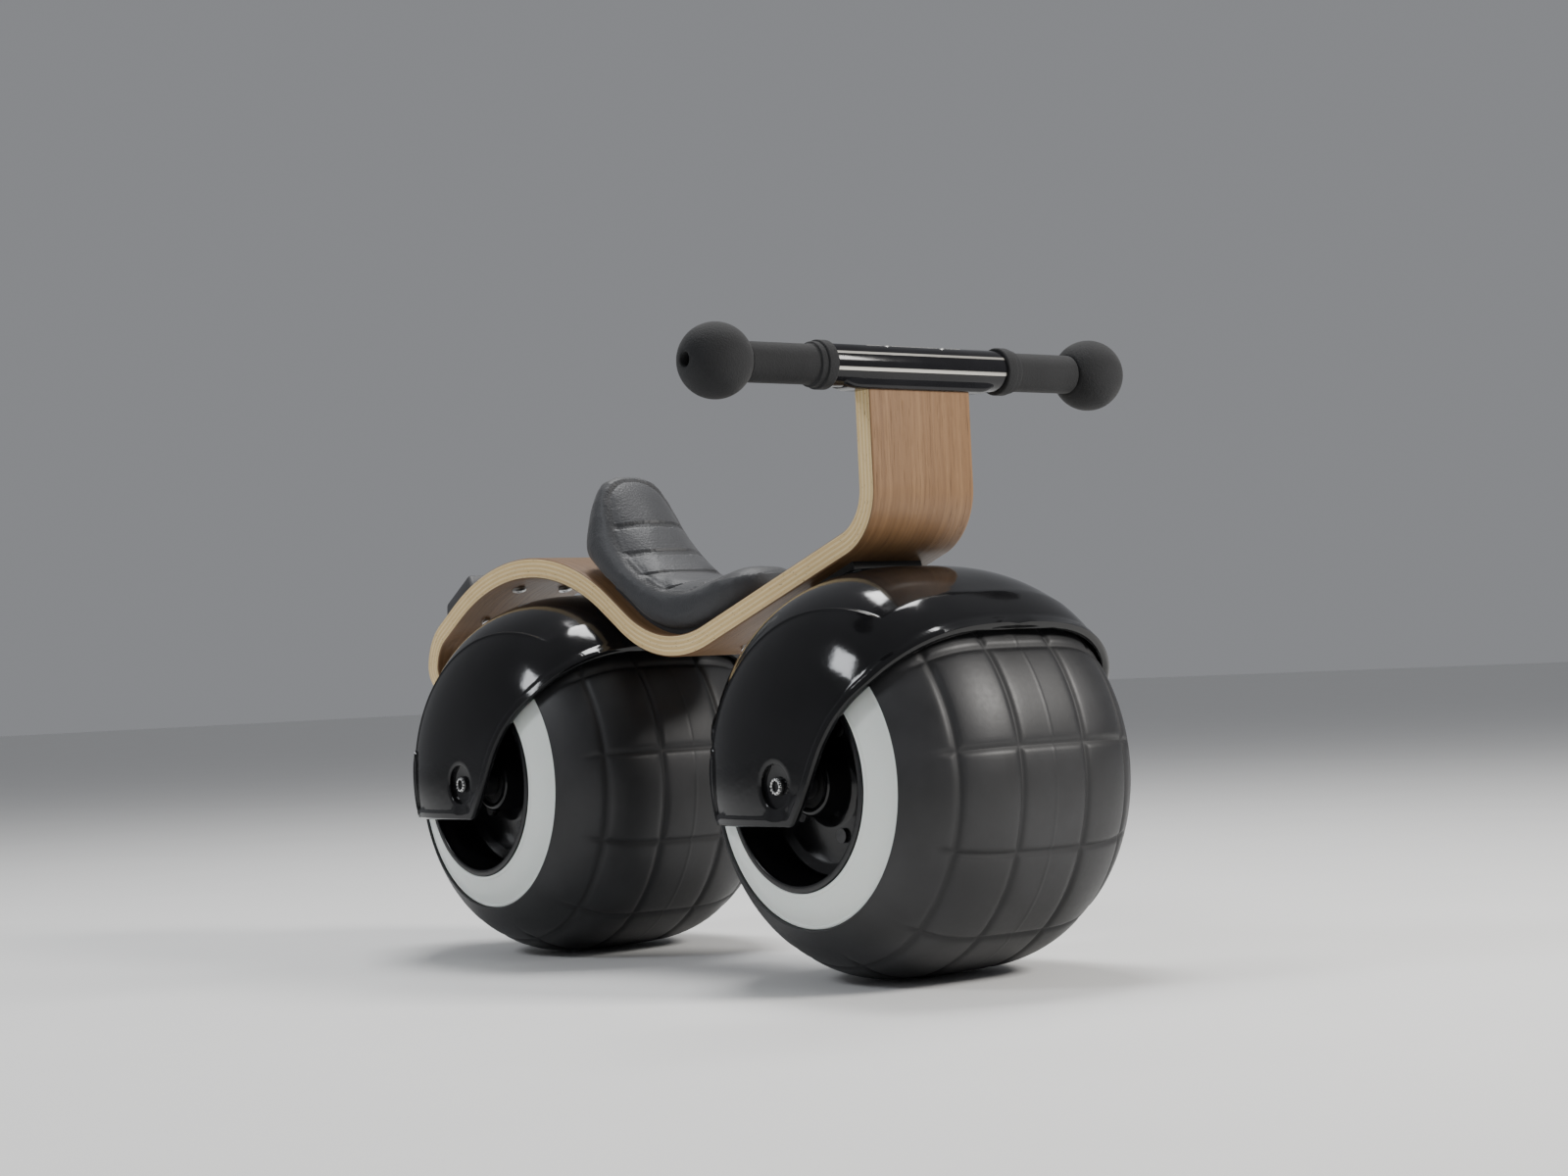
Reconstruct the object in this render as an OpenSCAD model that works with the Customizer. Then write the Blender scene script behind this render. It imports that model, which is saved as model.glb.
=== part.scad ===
// Toddler's balance bike: a bent plywood spine on two balloon-tyred wheels under domed hoods.
// Origin on the floor under the middle of the bike's box. +X forward, +Y to the rider's left, +Z up.

/* [Overall] */
// Distance between the two wheel axles
wheelbase = 320; // [290:1:390]
// Height of the handlebar's centre line above the floor
bar_z = 335; // [320:1:420]
// Facets to a full turn
$fn = 64; // [48:8:96]

/* [Plywood spine] */
// Width of the strip
ply_w = 73; // [60:1:90]
// Thickness of the pressed plies
ply_t = 13; // [10:0.5:16]
// Radius of the hump over the rear wheel
hump_r = 160; // [120:1:165]
// Radius of the dip that the saddle sits in
dip_r = 96; // [70:1:110]
// Radius of the bend up into the head
head_r = 32; // [24:1:45]
// Radius of the down-turned tail
tail_r = 30; // [24:1:40]
// Corner radius of the tail seen from behind
tail_corner_r = 28; // [10:1:30]
// Slope of the strip from the dip up over the front wheel, in degrees
rise_slope = 18.8; // [14:0.1:22]
// Slope of the strip from the hump down to the dip, in degrees
fall_slope = 33.5; // [28:0.1:38]
// Slope of the strip from the tail up to the hump, in degrees
tail_slope = 31.9; // [26:0.1:36]
// Length from the tail's corner to the hump's corner
tail_len = 146; // [142:1:180]
// How far the head stands ahead of the front axle
head_ahead = 9; // [0:1:25]

/* [Tyres] */
// Radius of each tyre
tyre_r = 110; // [95:1:135]
// Half-width that the tyre's barrel would reach without its rings
tyre_b = 96.5; // [92:0.5:110]
// Fullness of the tyre's barrel: 2 is an ellipse, more is squarer
tyre_full = 2.7; // [2.3:0.1:3.2]
// Half-width of the flat running band
tread_flat = 12; // [6:1:20]
// Thickness of the tyre's wall
tyre_wall = 5; // [3:0.5:8]

/* [Side rings and hubs] */
// Outer radius of each pale side ring
ring_r = 77.7; // [72:0.1:84]
// Inner radius of each pale side ring
ring_bore_r = 57.9; // [50:0.1:62]
// How far the ring's outer edge is sunk below the tyre's shoulder
ring_sunk = 1.3; // [0.5:0.1:3]
// How much further out the ring's inner edge stands
ring_rise = 8; // [4:0.5:10]
// Thickness of the ring
ring_t = 3; // [2:0.5:4]
// Thickness of the hub's drum and dish
hub_t = 3.5; // [2.5:0.5:5]
// Depth of the dish below the ring's inner edge
dish_depth = 25; // [15:1:35]
// Number of screws that join the two halves of a hub
hub_screws = 5; // [3:1:8]

/* [Axles and bearings] */
// Radius of the axle
axle_r = 5; // [4:0.5:6]
// Outer radius of each ball bearing
bearing_r = 13; // [11:0.5:15]
// Width of each ball bearing
bearing_w = 8; // [6:0.5:9]
// Radial running clearance
run_gap = 0.05; // [0.02:0.01:0.08]
// Nominal radius of the axle bolts
bolt_r = 3; // [2.5:0.5:4]
// Radius of the axle bolt's head
bolt_head_r = 5; // [4.5:0.5:8]
// Radius of the round recess around the bolt's head
recess_r = 12; // [10:0.5:14]

/* [Hoods] */
// Clearance between the tyre and the inside of the hood
hood_gap = 4.5; // [3:0.5:12]
// Thickness of the hood's shell
hood_t = 3.5; // [2.5:0.5:5]
// Fullness of the hood's barrel
hood_full = 2.8; // [2.4:0.1:3.2]
// Clearance between the hub's rim and the inside of the hood's legs
leg_gap = 10; // [7:0.5:14]
// How far the legs reach below the axle
leg_drop = 21; // [16:1:30]
// Height of the hump's underside above the rear hood
rear_gap = 10; // [8:0.5:16]
// Height of the packing between the front hood and the spine
front_gap = 2; // [1:0.5:6]

/* [Handlebar] */
// Width from ball to ball
bar_w = 311; // [290:1:380]
// Radius of the tube
tube_r = 8; // [7:0.5:9]
// Wall of the tube
tube_wall = 1.5; // [1:0.25:2.5]
// Radius of the gloss sleeve
sleeve_r = 11.8; // [11:0.1:14]
// Length of the gloss sleeve
sleeve_len = 122; // [108:1:140]
// Radius of the foam grips
grip_r = 11; // [10:0.5:13]
// Length of the flange at the inner end of each grip
flange_len = 11; // [8:1:14]
// Radius of the flange
flange_r = 13.5; // [12:0.5:16]
// Radius of the foam ball at each end
ball_r = 20.4; // [20:0.1:24]

/* [Saddle] */
// Width of the saddle at its fullest
saddle_w = 78; // [64:1:84]
// Height of the back above the dip's corner
saddle_back = 122; // [100:1:130]
// Thickness of the moulded base
base_t = 4; // [3:0.5:6]
// Width of the moulded base
base_w = 52; // [44:1:58]

/* [Hidden] */

tiny = 0.01;
fit_gap = 0.1;
soft_gap = 0.3;
past = 80; // how far cutters run past what they cut
arc_steps = 12;
barrel_steps = 12;

// Side view of the bike, with the rear axle at the local zero
axle_z = tyre_r;
hood_r = tyre_r + hood_gap + hood_t;
// The tyre's barrel stops at its shoulder, just outside the ring
shoulder_r = ring_r + 1;
shoulder_y = tread_flat
    + (tyre_b - tread_flat) * pow(1 - pow(shoulder_r / tyre_r, tyre_full), 1 / tyre_full);
ring_y = shoulder_y - ring_sunk;
ring_inner_y = ring_y + ring_rise;
leg_y = ring_inner_y + leg_gap;
hood_b = leg_y + hood_t;
boss_in = 2;
boss_inner = leg_y - boss_in;
tip_heading = 96; // heading of the down-turned tail, in degrees
tip_len = 40;
head_x = wheelbase + head_ahead;
head_top = bar_z - tube_r - 1;

function unit(a) = [cos(a), sin(a)];
function left_of(a) = [-sin(a), cos(a)];
// Where the line through p heading a meets the line through q heading b
function meet(p, a, q, b) =
    let (d = q - p)
    p + unit(a) * (d * left_of(b)) / (unit(a) * left_of(b));

hump_turn = tail_slope + fall_slope;
hump_top = axle_z + hood_r + rear_gap + ply_t / 2;
hump_corner = [-14, hump_top + hump_r * (1 / cos(hump_turn / 2) - 1)];
front_axle_at = [wheelbase, axle_z];
rise_foot = front_axle_at + left_of(rise_slope) * (hood_r + front_gap + ply_t / 2);
dip_corner = meet(hump_corner, -fall_slope, rise_foot, rise_slope);
head_corner = meet(rise_foot, rise_slope, [head_x, 0], 90);
tail_corner = hump_corner - unit(tail_slope) * tail_len;
tail_tip = tail_corner - unit(tip_heading) * tip_len;

// A round corner at v between a and b: [x, z, heading] at each station
function round_corner(a, v, b, r) =
    let (h1 = atan2(v.y - a.y, v.x - a.x),
         h2 = atan2(b.y - v.y, b.x - v.x),
         turn = h2 - h1,
         side = sign(turn),
         start = v - unit(h1) * r * tan(abs(turn) / 2),
         centre = start + left_of(h1) * side * r)
    [for (i = [0:arc_steps])
        let (h = h1 + turn * i / arc_steps, p = centre - left_of(h) * side * r)
        [p.x, p.y, h]];

head_end = [head_x, head_top];
spine = concat(
    [[tail_tip.x, tail_tip.y, tip_heading]],
    round_corner(tail_tip, tail_corner, hump_corner, tail_r),
    round_corner(tail_corner, hump_corner, dip_corner, hump_r),
    round_corner(hump_corner, dip_corner, head_corner, dip_r),
    round_corner(dip_corner, head_corner, head_end, head_r),
    [[head_x, head_top, 90]]);

function beside(line, d) = [for (s = line) [s.x, s.y] + left_of(s.z) * d];
function backwards(line) = [for (i = [len(line) - 1:-1:0]) line[i]];

// The middle of the bike's box: from the tail's outer face to the front of the front tyre
tail_x = min([for (p = beside(spine, ply_t / 2)) p.x]);
mid_x = (tail_x + wheelbase + tyre_r) / 2;

// Puts a side view, drawn in X and Z from the rear axle, into place as a slab of width w
module slab(w) {
    translate([-mid_x, w / 2, 0]) rotate([90, 0, 0]) linear_extrude(w) children();
}

module band(low, high) {
    polygon(concat(beside(spine, high), backwards(beside(spine, low))));
}

// Turns a [radius, distance] profile about an axle that lies along Y
module on_axle(x) {
    translate([x - mid_x, 0, axle_z]) rotate([-90, 0, 0]) children();
}

// One side of a barrel, from half-width y0 out to y1
function barrel_r(y, r, b, full, flat) =
    r * pow(1 - pow(max(abs(y) - flat, 0) / (b - flat), full), 1 / full);
function barrel(r, b, full, flat, y0, y1) =
    [for (i = [0:barrel_steps])
        let (y = y0 + (y1 - y0) * sin(90 * i / barrel_steps))
        [barrel_r(y, r, b, full, flat), y]];

module mirrored_profile(points) {
    polygon(concat(points, [for (p = backwards(points)) [p.x, -p.y]]));
}

// ---- Plywood spine -------------------------------------------------------------------------

screw_r = 2.5;
pilot_r = screw_r + 0.25;
// The rear hood is fixed where the falling slope passes closest to it
rear_foot = meet(hump_corner, -fall_slope, [0, axle_z], 90 - fall_slope);
rear_foot_gap = norm(rear_foot - [0, axle_z]) - hood_r - ply_t / 2;
hump_screw_x = -55;
hump_screw_y = 18;
hood_screw_y = 18;
hood_screw_x = 14;
saddle_screw_s = [-32, 30];

// Puts children at a spot on the spine: s along the dip's tangent line from its lowest point
module at_dip(s) {
    low = dip_corner + left_of((rise_slope - fall_slope) / 2) * dip_r / cos((rise_slope + fall_slope) / 2);
    a = s / dip_r * 180 / PI;
    translate([low.x - mid_x + dip_r * sin(a), 0, low.y - dip_r * cos(a)])
        rotate([0, -a, 0]) children();
}

module at_front_seat() {
    p = rise_foot;
    translate([p.x - mid_x, 0, p.y]) rotate([0, -rise_slope, 0]) children();
}

module at_rear_seat() {
    translate([rear_foot.x - mid_x, 0, rear_foot.y]) rotate([0, fall_slope, 0]) children();
}

// Puts children under the hump, upside down, at the two screws in its underside
module hump_screw_places() {
    turn = asin((hump_screw_x - hump_corner.x) / hump_r);
    hump_centre = hump_corner.y - hump_r / cos(hump_turn / 2);
    for (side = [-1, 1])
        translate([hump_corner.x - mid_x, side * hump_screw_y, hump_centre])
            rotate([0, turn, 0]) translate([0, 0, hump_r - ply_t / 2]) rotate([180, 0, 0]) children();
}

module screw_places() {
    for (sx = [-1, 1], sy = [-1, 1])
        translate([sx * hood_screw_x, sy * hood_screw_y, 0]) children();
}

cross_nut_r = 5;
cross_nut_in = ply_t / 2 - 2; // the blind holes for the cross nuts come in from behind
cross_nut_down = 22;
bar_screw_y = 20;
bar_screw_sink = 2.6;
bar_screw_top = bar_z + sleeve_r - bar_screw_sink;
bar_screw_end = head_top - cross_nut_down - cross_nut_r + 1;

// Cuts one lower corner of the tail round
module tail_corner_cut() {
    difference() {
        translate([-tiny, -tiny]) square([tail_corner_r, tail_corner_r + ply_t]);
        translate([tail_corner_r, tail_corner_r + ply_t]) circle(tail_corner_r);
        translate([-tiny, tail_corner_r + ply_t]) square(tail_corner_r * 2);
    }
}

module plywood_spine() color("burlywood") {
    difference() {
        slab(ply_w) band(-ply_t / 2, ply_t / 2);
        for (side = [-1, 1])
            translate([tail_tip.x - mid_x - ply_t * 2, side * ply_w / 2, tail_tip.y - ply_t])
                rotate([90, 0, 90])
                    linear_extrude(ply_t * 4) mirror([side > 0 ? 1 : 0, 0]) tail_corner_cut();
        at_front_seat() screw_places() screw_hole();
        at_rear_seat() screw_places() screw_hole();
        for (s = saddle_screw_s)
            at_dip(s) cylinder(r = tee_barrel_r + fit_gap, h = ply_t * 3, center = true);
        for (side = [-1, 1]) {
            translate([head_x - mid_x, side * bar_screw_y, bar_screw_end - 1])
                cylinder(r = pilot_r, h = past);
            translate([head_x - mid_x + cross_nut_in, side * bar_screw_y, head_top - cross_nut_down])
                rotate([0, -90, 0]) cylinder(r = cross_nut_r + fit_gap, h = past);
        }
        hump_screw_places() cylinder(r = pilot_r, h = ply_t * 1.4, center = true);
        block_screw_places() cylinder(r = block_screw_r + fit_gap, h = ply_t * 3, center = true);
    }
}

// ---- Hoods ---------------------------------------------------------------------------------

// Side view of the shell that is kept, about the axle, drawn for a hood of radius lip_for_r:
// the slanting lip and the leg's front edge, then the rear edge back down to the leg
lip_for_r = 118;
hood_lip = [[13, -leg_drop], [21, -10], [28, 2], [37, 20], [45, 33], [54, 44], [64, 54], [75, 67], [88, 83]];
hood_above = [[140, 135], [140, 220], [-180, 220]];
hood_rear = [[-180, 52], [-118, 46], [-84, 36], [-65, 16], [-65, -leg_drop]];
module hood_outline() {
    scale(hood_r / lip_for_r) polygon(concat(hood_lip, hood_above, hood_rear));
}

module hood(x) {
    difference() {
        union() {
            intersection() {
                difference() {
                    on_axle(x) rotate_extrude() closed_barrel(hood_r, hood_b);
                    on_axle(x) rotate_extrude() closed_barrel(hood_r - hood_t, leg_y);
                }
                translate([x - mid_x, hood_b + past, axle_z]) rotate([90, 0, 0])
                    linear_extrude((hood_b + past) * 2) hood_outline();
            }
            on_axle(x) for (side = [0, 1]) mirror([0, 0, side])
                translate([0, 0, boss_inner]) cylinder(r = recess_r + boss_rim, h = boss_in + hood_t / 2);
        }
        on_axle(x) cylinder(r = bolt_r + fit_gap, h = (hood_b + past) * 2, center = true);
        on_axle(x) for (side = [0, 1]) mirror([0, 0, side])
            translate([0, 0, head_seat]) cylinder(r = recess_r, h = past);
    }
}
boss_rim = 5;
recess_deep = 3;
head_seat = hood_b - recess_deep;

// Half a closed barrel, from the middle plane out to its pole
function hood_cap(r, b) =
    [for (i = [0:barrel_steps])
        let (a = 90 * i / barrel_steps)
        [r * pow(cos(a), 2 / hood_full), b * pow(sin(a), 2 / hood_full)]];

module closed_barrel(r, b) {
    mirrored_profile(concat([[0, 0]], hood_cap(r, b)));
}

module front_hood() color("black") {
    difference() {
        hood(wheelbase);
        at_front_seat() screw_places() cylinder(r = pilot_r, h = past, center = true);
    }
}
module rear_hood() color("black") {
    difference() {
        hood(0);
        at_rear_seat() screw_places() cylinder(r = pilot_r, h = past, center = true);
    }
}

// Packing blocks fill the space between the domed hood and the spine
packing_x = 40;
packing_y = 50;
packing_sink = 6;
module packing_block(gap) {
    translate([-packing_x / 2, -packing_y / 2, -ply_t / 2 - gap - packing_sink])
        cube([packing_x, packing_y, gap + packing_sink]);
}
module front_packing() color("dimgray") {
    difference() {
        at_front_seat() packing_block(front_gap);
        on_axle(wheelbase) rotate_extrude() closed_barrel(hood_r + fit_gap, hood_b);
        at_front_seat() screw_places() cylinder(r = pilot_r, h = past, center = true);
    }
}
module rear_packing() color("dimgray") {
    difference() {
        at_rear_seat() translate([0, 0, ply_t / 2]) packing_block(rear_foot_gap + ply_t / 2);
        slab(ply_w * 2) band(-ply_t / 2 - fit_gap, ply_t * 2);
        on_axle(0) rotate_extrude() closed_barrel(hood_r + fit_gap, hood_b);
        at_rear_seat() screw_places() cylinder(r = pilot_r, h = past, center = true);
    }
}

// A pan-head screw: head from z = 0 upwards, shank down
pan_r = 4.6;
pan_h = 2.2;
module screw(length) {
    cylinder(r = pan_r, h = pan_h);
    translate([0, 0, -length]) cylinder(r = screw_r, h = length + tiny);
}
// A countersunk screw, its head flush at z = 0, and the hole for it in the spine
module flush_screw(length) {
    translate([0, 0, -pan_h]) cylinder(r1 = screw_r, r2 = pan_r, h = pan_h);
    translate([0, 0, -length]) cylinder(r = screw_r, h = length - pan_h + tiny);
}
module screw_hole() {
    cylinder(r = pilot_r, h = ply_t * 3, center = true);
    translate([0, 0, ply_t / 2 - pan_h - fit_gap])
        cylinder(r1 = pilot_r, r2 = pan_r + pilot_r - screw_r + fit_gap * 2, h = pan_h + fit_gap * 2);
}

module hump_screws() color("silver") {
    hump_screw_places() screw(ply_t * 0.6);
}

// The hood screws end short of the tyre
thread_out = hood_gap * 0.75;
module front_hood_screws() color("silver") {
    reach = ply_t + front_gap + hood_t + thread_out;
    at_front_seat() screw_places() translate([0, 0, ply_t / 2]) flush_screw(reach);
}
module rear_hood_screws() color("silver") {
    reach = ply_t + rear_foot_gap + hood_t + thread_out;
    at_rear_seat() screw_places() translate([0, 0, ply_t / 2]) flush_screw(reach);
}

// ---- Handlebar -----------------------------------------------------------------------------

ball_cap = 8; // how far the ball reaches past the end of the tube
tube_half = bar_w / 2 - ball_cap;
module across(x, z) {
    translate([x - mid_x, 0, z]) rotate([-90, 0, 0]) children();
}

module handlebar_tube() color("silver") {
    across(head_x, bar_z) difference() {
        cylinder(r = tube_r, h = tube_half * 2, center = true);
        cylinder(r = tube_r - tube_wall, h = tube_half * 2 + 1, center = true);
        for (side = [-1, 1])
            translate([0, 0, side * bar_screw_y]) rotate([90, 0, 0])
                cylinder(r = pilot_r, h = tube_r * 3, center = true);
    }
}

jaw_w = ply_w + 40;
jaw_t = ply_t + 5;
jaw_drop = sleeve_r + 1.5;
module bar_sleeve() color("black") {
    difference() {
        union() {
            across(head_x, bar_z) cylinder(r = sleeve_r, h = sleeve_len, center = true);
            translate([head_x - mid_x - jaw_t / 2, -jaw_w / 2, bar_z - jaw_drop])
                cube([jaw_t, jaw_w, jaw_drop - tube_r + 1]);
        }
        across(head_x, bar_z) cylinder(r = tube_r + fit_gap, h = sleeve_len + 1, center = true);
        translate([head_x - mid_x - ply_t / 2 - fit_gap, -ply_w / 2 - fit_gap, bar_z - jaw_drop - 1])
            cube([ply_t + fit_gap * 2, ply_w + fit_gap * 2, jaw_drop - tube_r]);
        for (side = [-1, 1])
            translate([head_x - mid_x, side * bar_screw_y, bar_z]) {
                cylinder(r = pilot_r, h = sleeve_r * 4, center = true);
                translate([0, 0, sleeve_r - bar_screw_sink]) cylinder(r = pan_r + fit_gap, h = pan_h * 2);
            }
    }
}

module bar_screws() color("silver") {
    for (side = [-1, 1])
        translate([head_x - mid_x, side * bar_screw_y, bar_screw_top])
            screw(bar_screw_top - bar_screw_end);
}

module bar_cross_nuts() color("silver") {
    for (side = [-1, 1])
        translate([head_x - mid_x, side * bar_screw_y, head_top - cross_nut_down])
            difference() {
                translate([cross_nut_in - fit_gap, 0, 0]) rotate([0, -90, 0])
                    cylinder(r = cross_nut_r, h = ply_t / 2 + cross_nut_in);
                cylinder(r = screw_r, h = cross_nut_r * 3, center = true);
            }
}

plug_len = 10;
module bar_plugs() color("dimgray") {
    for (side = [-1, 1])
        across(head_x, bar_z) translate([0, 0, side * (tube_half - plug_len / 2)])
            cylinder(r = tube_r - tube_wall - fit_gap / 2, h = plug_len, center = true);
}

grip_in = sleeve_len / 2;
ball_y = bar_w / 2 - ball_r;
grip_out = ball_y - sqrt(ball_r * ball_r - grip_r * grip_r);
ball_hole_r = 4;
flange_step = 0.62; // share of the flange's length at its full radius
module grip(side) {
    across(head_x, bar_z) mirror([0, 0, side < 0 ? 1 : 0]) difference() {
        union() {
            translate([0, 0, grip_in + soft_gap]) cylinder(r = flange_r, h = flange_len * flange_step);
            translate([0, 0, grip_in + soft_gap]) cylinder(r = flange_r - 1, h = flange_len);
            translate([0, 0, grip_in + soft_gap]) cylinder(r = grip_r, h = grip_out - grip_in - soft_gap * 2);
        }
        cylinder(r = tube_r + fit_gap / 2, h = bar_w);
    }
}
module grip_right() color("#303236") { grip(-1); }
module grip_left() color("#303236") { grip(1); }

module ball(side) {
    across(head_x, bar_z) mirror([0, 0, side < 0 ? 1 : 0]) difference() {
        translate([0, 0, ball_y]) sphere(r = ball_r);
        cylinder(r = tube_r + fit_gap / 2, h = tube_half);
        cylinder(r = ball_hole_r, h = bar_w);
        cylinder(r = ball_r * 2, h = grip_out);
    }
}
module ball_right() color("#2a2c30") { ball(-1); }
module ball_left() color("#2a2c30") { ball(1); }

// ---- Saddle --------------------------------------------------------------------------------

// Side view of the padded shell about the dip's corner, closed below the spine's top face
saddle_nose = [[72, 36], [73, 46], [68, 52], [59, 56], [48, 55], [30, 50.5], [13, 48.5], [-7, 51], [-27, 61]];
saddle_rise = [[-47, 78], [-62, 98], [-71, 112]];
saddle_rear = [[-90, 111], [-95, 92], [-95, 70], [-86, 56]];
module saddle_side() {
    translate(dip_corner)
        polygon(concat(saddle_nose, saddle_rise, [[-80, saddle_back]], saddle_rear, [[-60, 0], [60, 0]]));
}
// Front view: [height above the dip's corner, share of the half-width]
saddle_edge = [[0, 0.78], [34, 1], [52, 1], [84, 0.92]];
saddle_head = [[saddle_back - 8, 0.68], [saddle_back + 1, 0.42]];
module saddle_front() {
    half = saddle_w / 2;
    translate([0, dip_corner.y])
        mirrored_across([for (e = concat(saddle_edge, saddle_head)) [e[1] * half, e[0]]]);
}
// Plan view: [distance ahead of the dip's corner, share of the half-width]
saddle_plan = [[-95, 0.5], [-90, 0.68], [-80, 0.86], [-60, 1], [-30, 1], [45, 1], [62, 0.82], [73, 0.42]];
module saddle_top() {
    translate([dip_corner.x - mid_x, 0]) rotate(-90)
        mirrored_across([for (e = saddle_plan) [e[1] * saddle_w / 2, e[0]]]);
}
// Closes a line of points with its mirror image across the second axis
module mirrored_across(points) {
    polygon(concat(points, [for (p = backwards(points)) [-p.x, p.y]]));
}
module saddle_pad() color("#33353a") {
    difference() {
        intersection() {
            slab(saddle_w) saddle_side();
            translate([-past * 3, 0, 0]) rotate([90, 0, 90]) linear_extrude(past * 6) saddle_front();
            linear_extrude(bar_z * 2) saddle_top();
        }
        slab(saddle_w * 2) band(-ply_t * 4, ply_t / 2 + base_t + soft_gap);
    }
}

// The base starts just ahead of the rear pair of hood screws
base_back = rear_foot.x - hood_screw_x * cos(fall_slope) + sin(fall_slope) * ply_t / 2
    + pan_r + 1.5 - dip_corner.x;
base_front = 62;
module saddle_base() color("#1c1d20") {
    difference() {
        intersection() {
            slab(base_w) band(ply_t / 2, ply_t / 2 + base_t);
            translate([dip_corner.x + base_back - mid_x, -base_w, 0])
                cube([base_front - base_back, base_w * 2, bar_z]);
        }
        for (s = saddle_screw_s)
            at_dip(s) cylinder(r = pilot_r, h = ply_t * 4, center = true);
    }
}

tee_barrel_r = 4;
tee_flange_r = 9;
tee_flange_t = 1.6;
module saddle_screws() color("silver") {
    for (s = saddle_screw_s)
        at_dip(s) translate([0, 0, -ply_t / 2 - 1])
            cylinder(r = screw_r, h = ply_t + base_t - 0.5);
}
module saddle_tee_nuts() color("silver") {
    for (s = saddle_screw_s)
        at_dip(s) difference() {
            union() {
                translate([0, 0, -ply_t / 2]) cylinder(r = tee_barrel_r, h = ply_t * 0.7);
                translate([0, 0, -ply_t / 2 - tee_flange_t]) cylinder(r = tee_flange_r, h = tee_flange_t);
            }
            cylinder(r = screw_r, h = ply_t * 3, center = true);
        }
}

// ---- Tail block ----------------------------------------------------------------------------

block_len = 41;
block_w = 64;
block_h = 13;
block_chamfer = 3;
block_up = 42; // how far up the slope the block sits from the tail's corner
block_screw_r = 1.5;
block_screw_head_r = 3.4;
block_screw_head_h = 2;
block_at = tail_corner + unit(tail_slope) * block_up + left_of(tail_slope) * ply_t / 2;
module at_tail() {
    translate([block_at.x - mid_x, 0, block_at.y]) rotate([0, -tail_slope, 0]) children();
}
module block_screw_places() {
    at_tail() for (side = [-1, 1]) translate([0, side * block_w / 4, 0]) children();
}
module tail_block() color("#202124") {
    difference() {
        at_tail() hull() {
            translate([-block_len / 2, -block_w / 2, -2]) cube([block_len, block_w, 4]);
            translate([block_chamfer - block_len / 2, block_chamfer - block_w / 2, block_h - 1])
                cube([block_len - block_chamfer * 2, block_w - block_chamfer * 2, 1]);
        }
        slab(ply_w * 2) band(-ply_t * 2, ply_t / 2);
        block_screw_places() cylinder(r = block_screw_r, h = block_h, center = true);
    }
}
module tail_block_screws() color("silver") {
    block_screw_places() translate([0, 0, -ply_t - block_screw_head_h - fit_gap]) {
        cylinder(r = block_screw_r, h = ply_t + block_screw_head_h + fit_gap + block_h / 2 - 1);
        cylinder(r = block_screw_head_r, h = block_screw_head_h);
    }
}

// ---- Axles and bearings --------------------------------------------------------------------

bearing_out = ring_inner_y - 10; // the bearings sit this far inside the rings' inner edges
bearing_in = bearing_out - bearing_w;
bolt_reach = 22;
bolt_head_h = 4;
socket_deep = 2.5;
spacer_wall = 3;
sleeve_wall = 2.5;

module axle(x) {
    on_axle(x) difference() {
        cylinder(r = axle_r, h = boss_inner * 2, center = true);
        for (side = [-1, 1])
            translate([0, 0, side * boss_inner])
                cylinder(r = bolt_r, h = (bolt_reach + 1) * 2, center = true);
    }
}
module axle_bolts(x) {
    on_axle(x) for (side = [0, 1]) mirror([0, 0, side]) {
        translate([0, 0, boss_inner - bolt_reach])
            cylinder(r = bolt_r, h = head_seat - boss_inner + bolt_reach);
        translate([0, 0, head_seat]) difference() {
            cylinder(r = bolt_head_r, h = bolt_head_h);
            translate([0, 0, bolt_head_h - socket_deep]) cylinder(r = bolt_r * 0.87, h = past, $fn = 6);
        }
    }
}
module axle_spacers(x) {
    on_axle(x) for (side = [0, 1]) mirror([0, 0, side])
        translate([0, 0, bearing_out + fit_gap]) difference() {
            cylinder(r = axle_r + spacer_wall, h = boss_inner - bearing_out - fit_gap * 2);
            cylinder(r = axle_r + run_gap, h = past, center = true);
        }
}
module bearing_sleeve(x) {
    on_axle(x) difference() {
        cylinder(r = axle_r + sleeve_wall, h = bearing_in * 2 - fit_gap * 2, center = true);
        cylinder(r = axle_r + run_gap, h = bearing_in * 2 + 1, center = true);
    }
}
race_t = 1.8;
shield_deep = 0.6;
module bearing(x, side) {
    on_axle(x) mirror([0, 0, side < 0 ? 1 : 0]) translate([0, 0, bearing_in]) difference() {
        cylinder(r = bearing_r, h = bearing_w);
        cylinder(r = axle_r + run_gap, h = past, center = true);
        translate([0, 0, bearing_w - shield_deep]) difference() {
            cylinder(r = bearing_r - race_t, h = past);
            cylinder(r = axle_r + race_t, h = past, center = true);
        }
    }
}

// ---- Wheels --------------------------------------------------------------------------------

drum_r = ring_bore_r - 0.4;
bead_r = drum_r + fit_gap;
bead_t = 3;
bead_w = 18;
ring_edge = 0.6;

// The ring's sloping back, from its outer edge to its inner edge, moved inwards by gap
function ring_back(gap) = [[ring_r - ring_edge, ring_y - ring_edge - gap],
    [ring_bore_r, ring_inner_y - ring_t - gap]];

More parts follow.
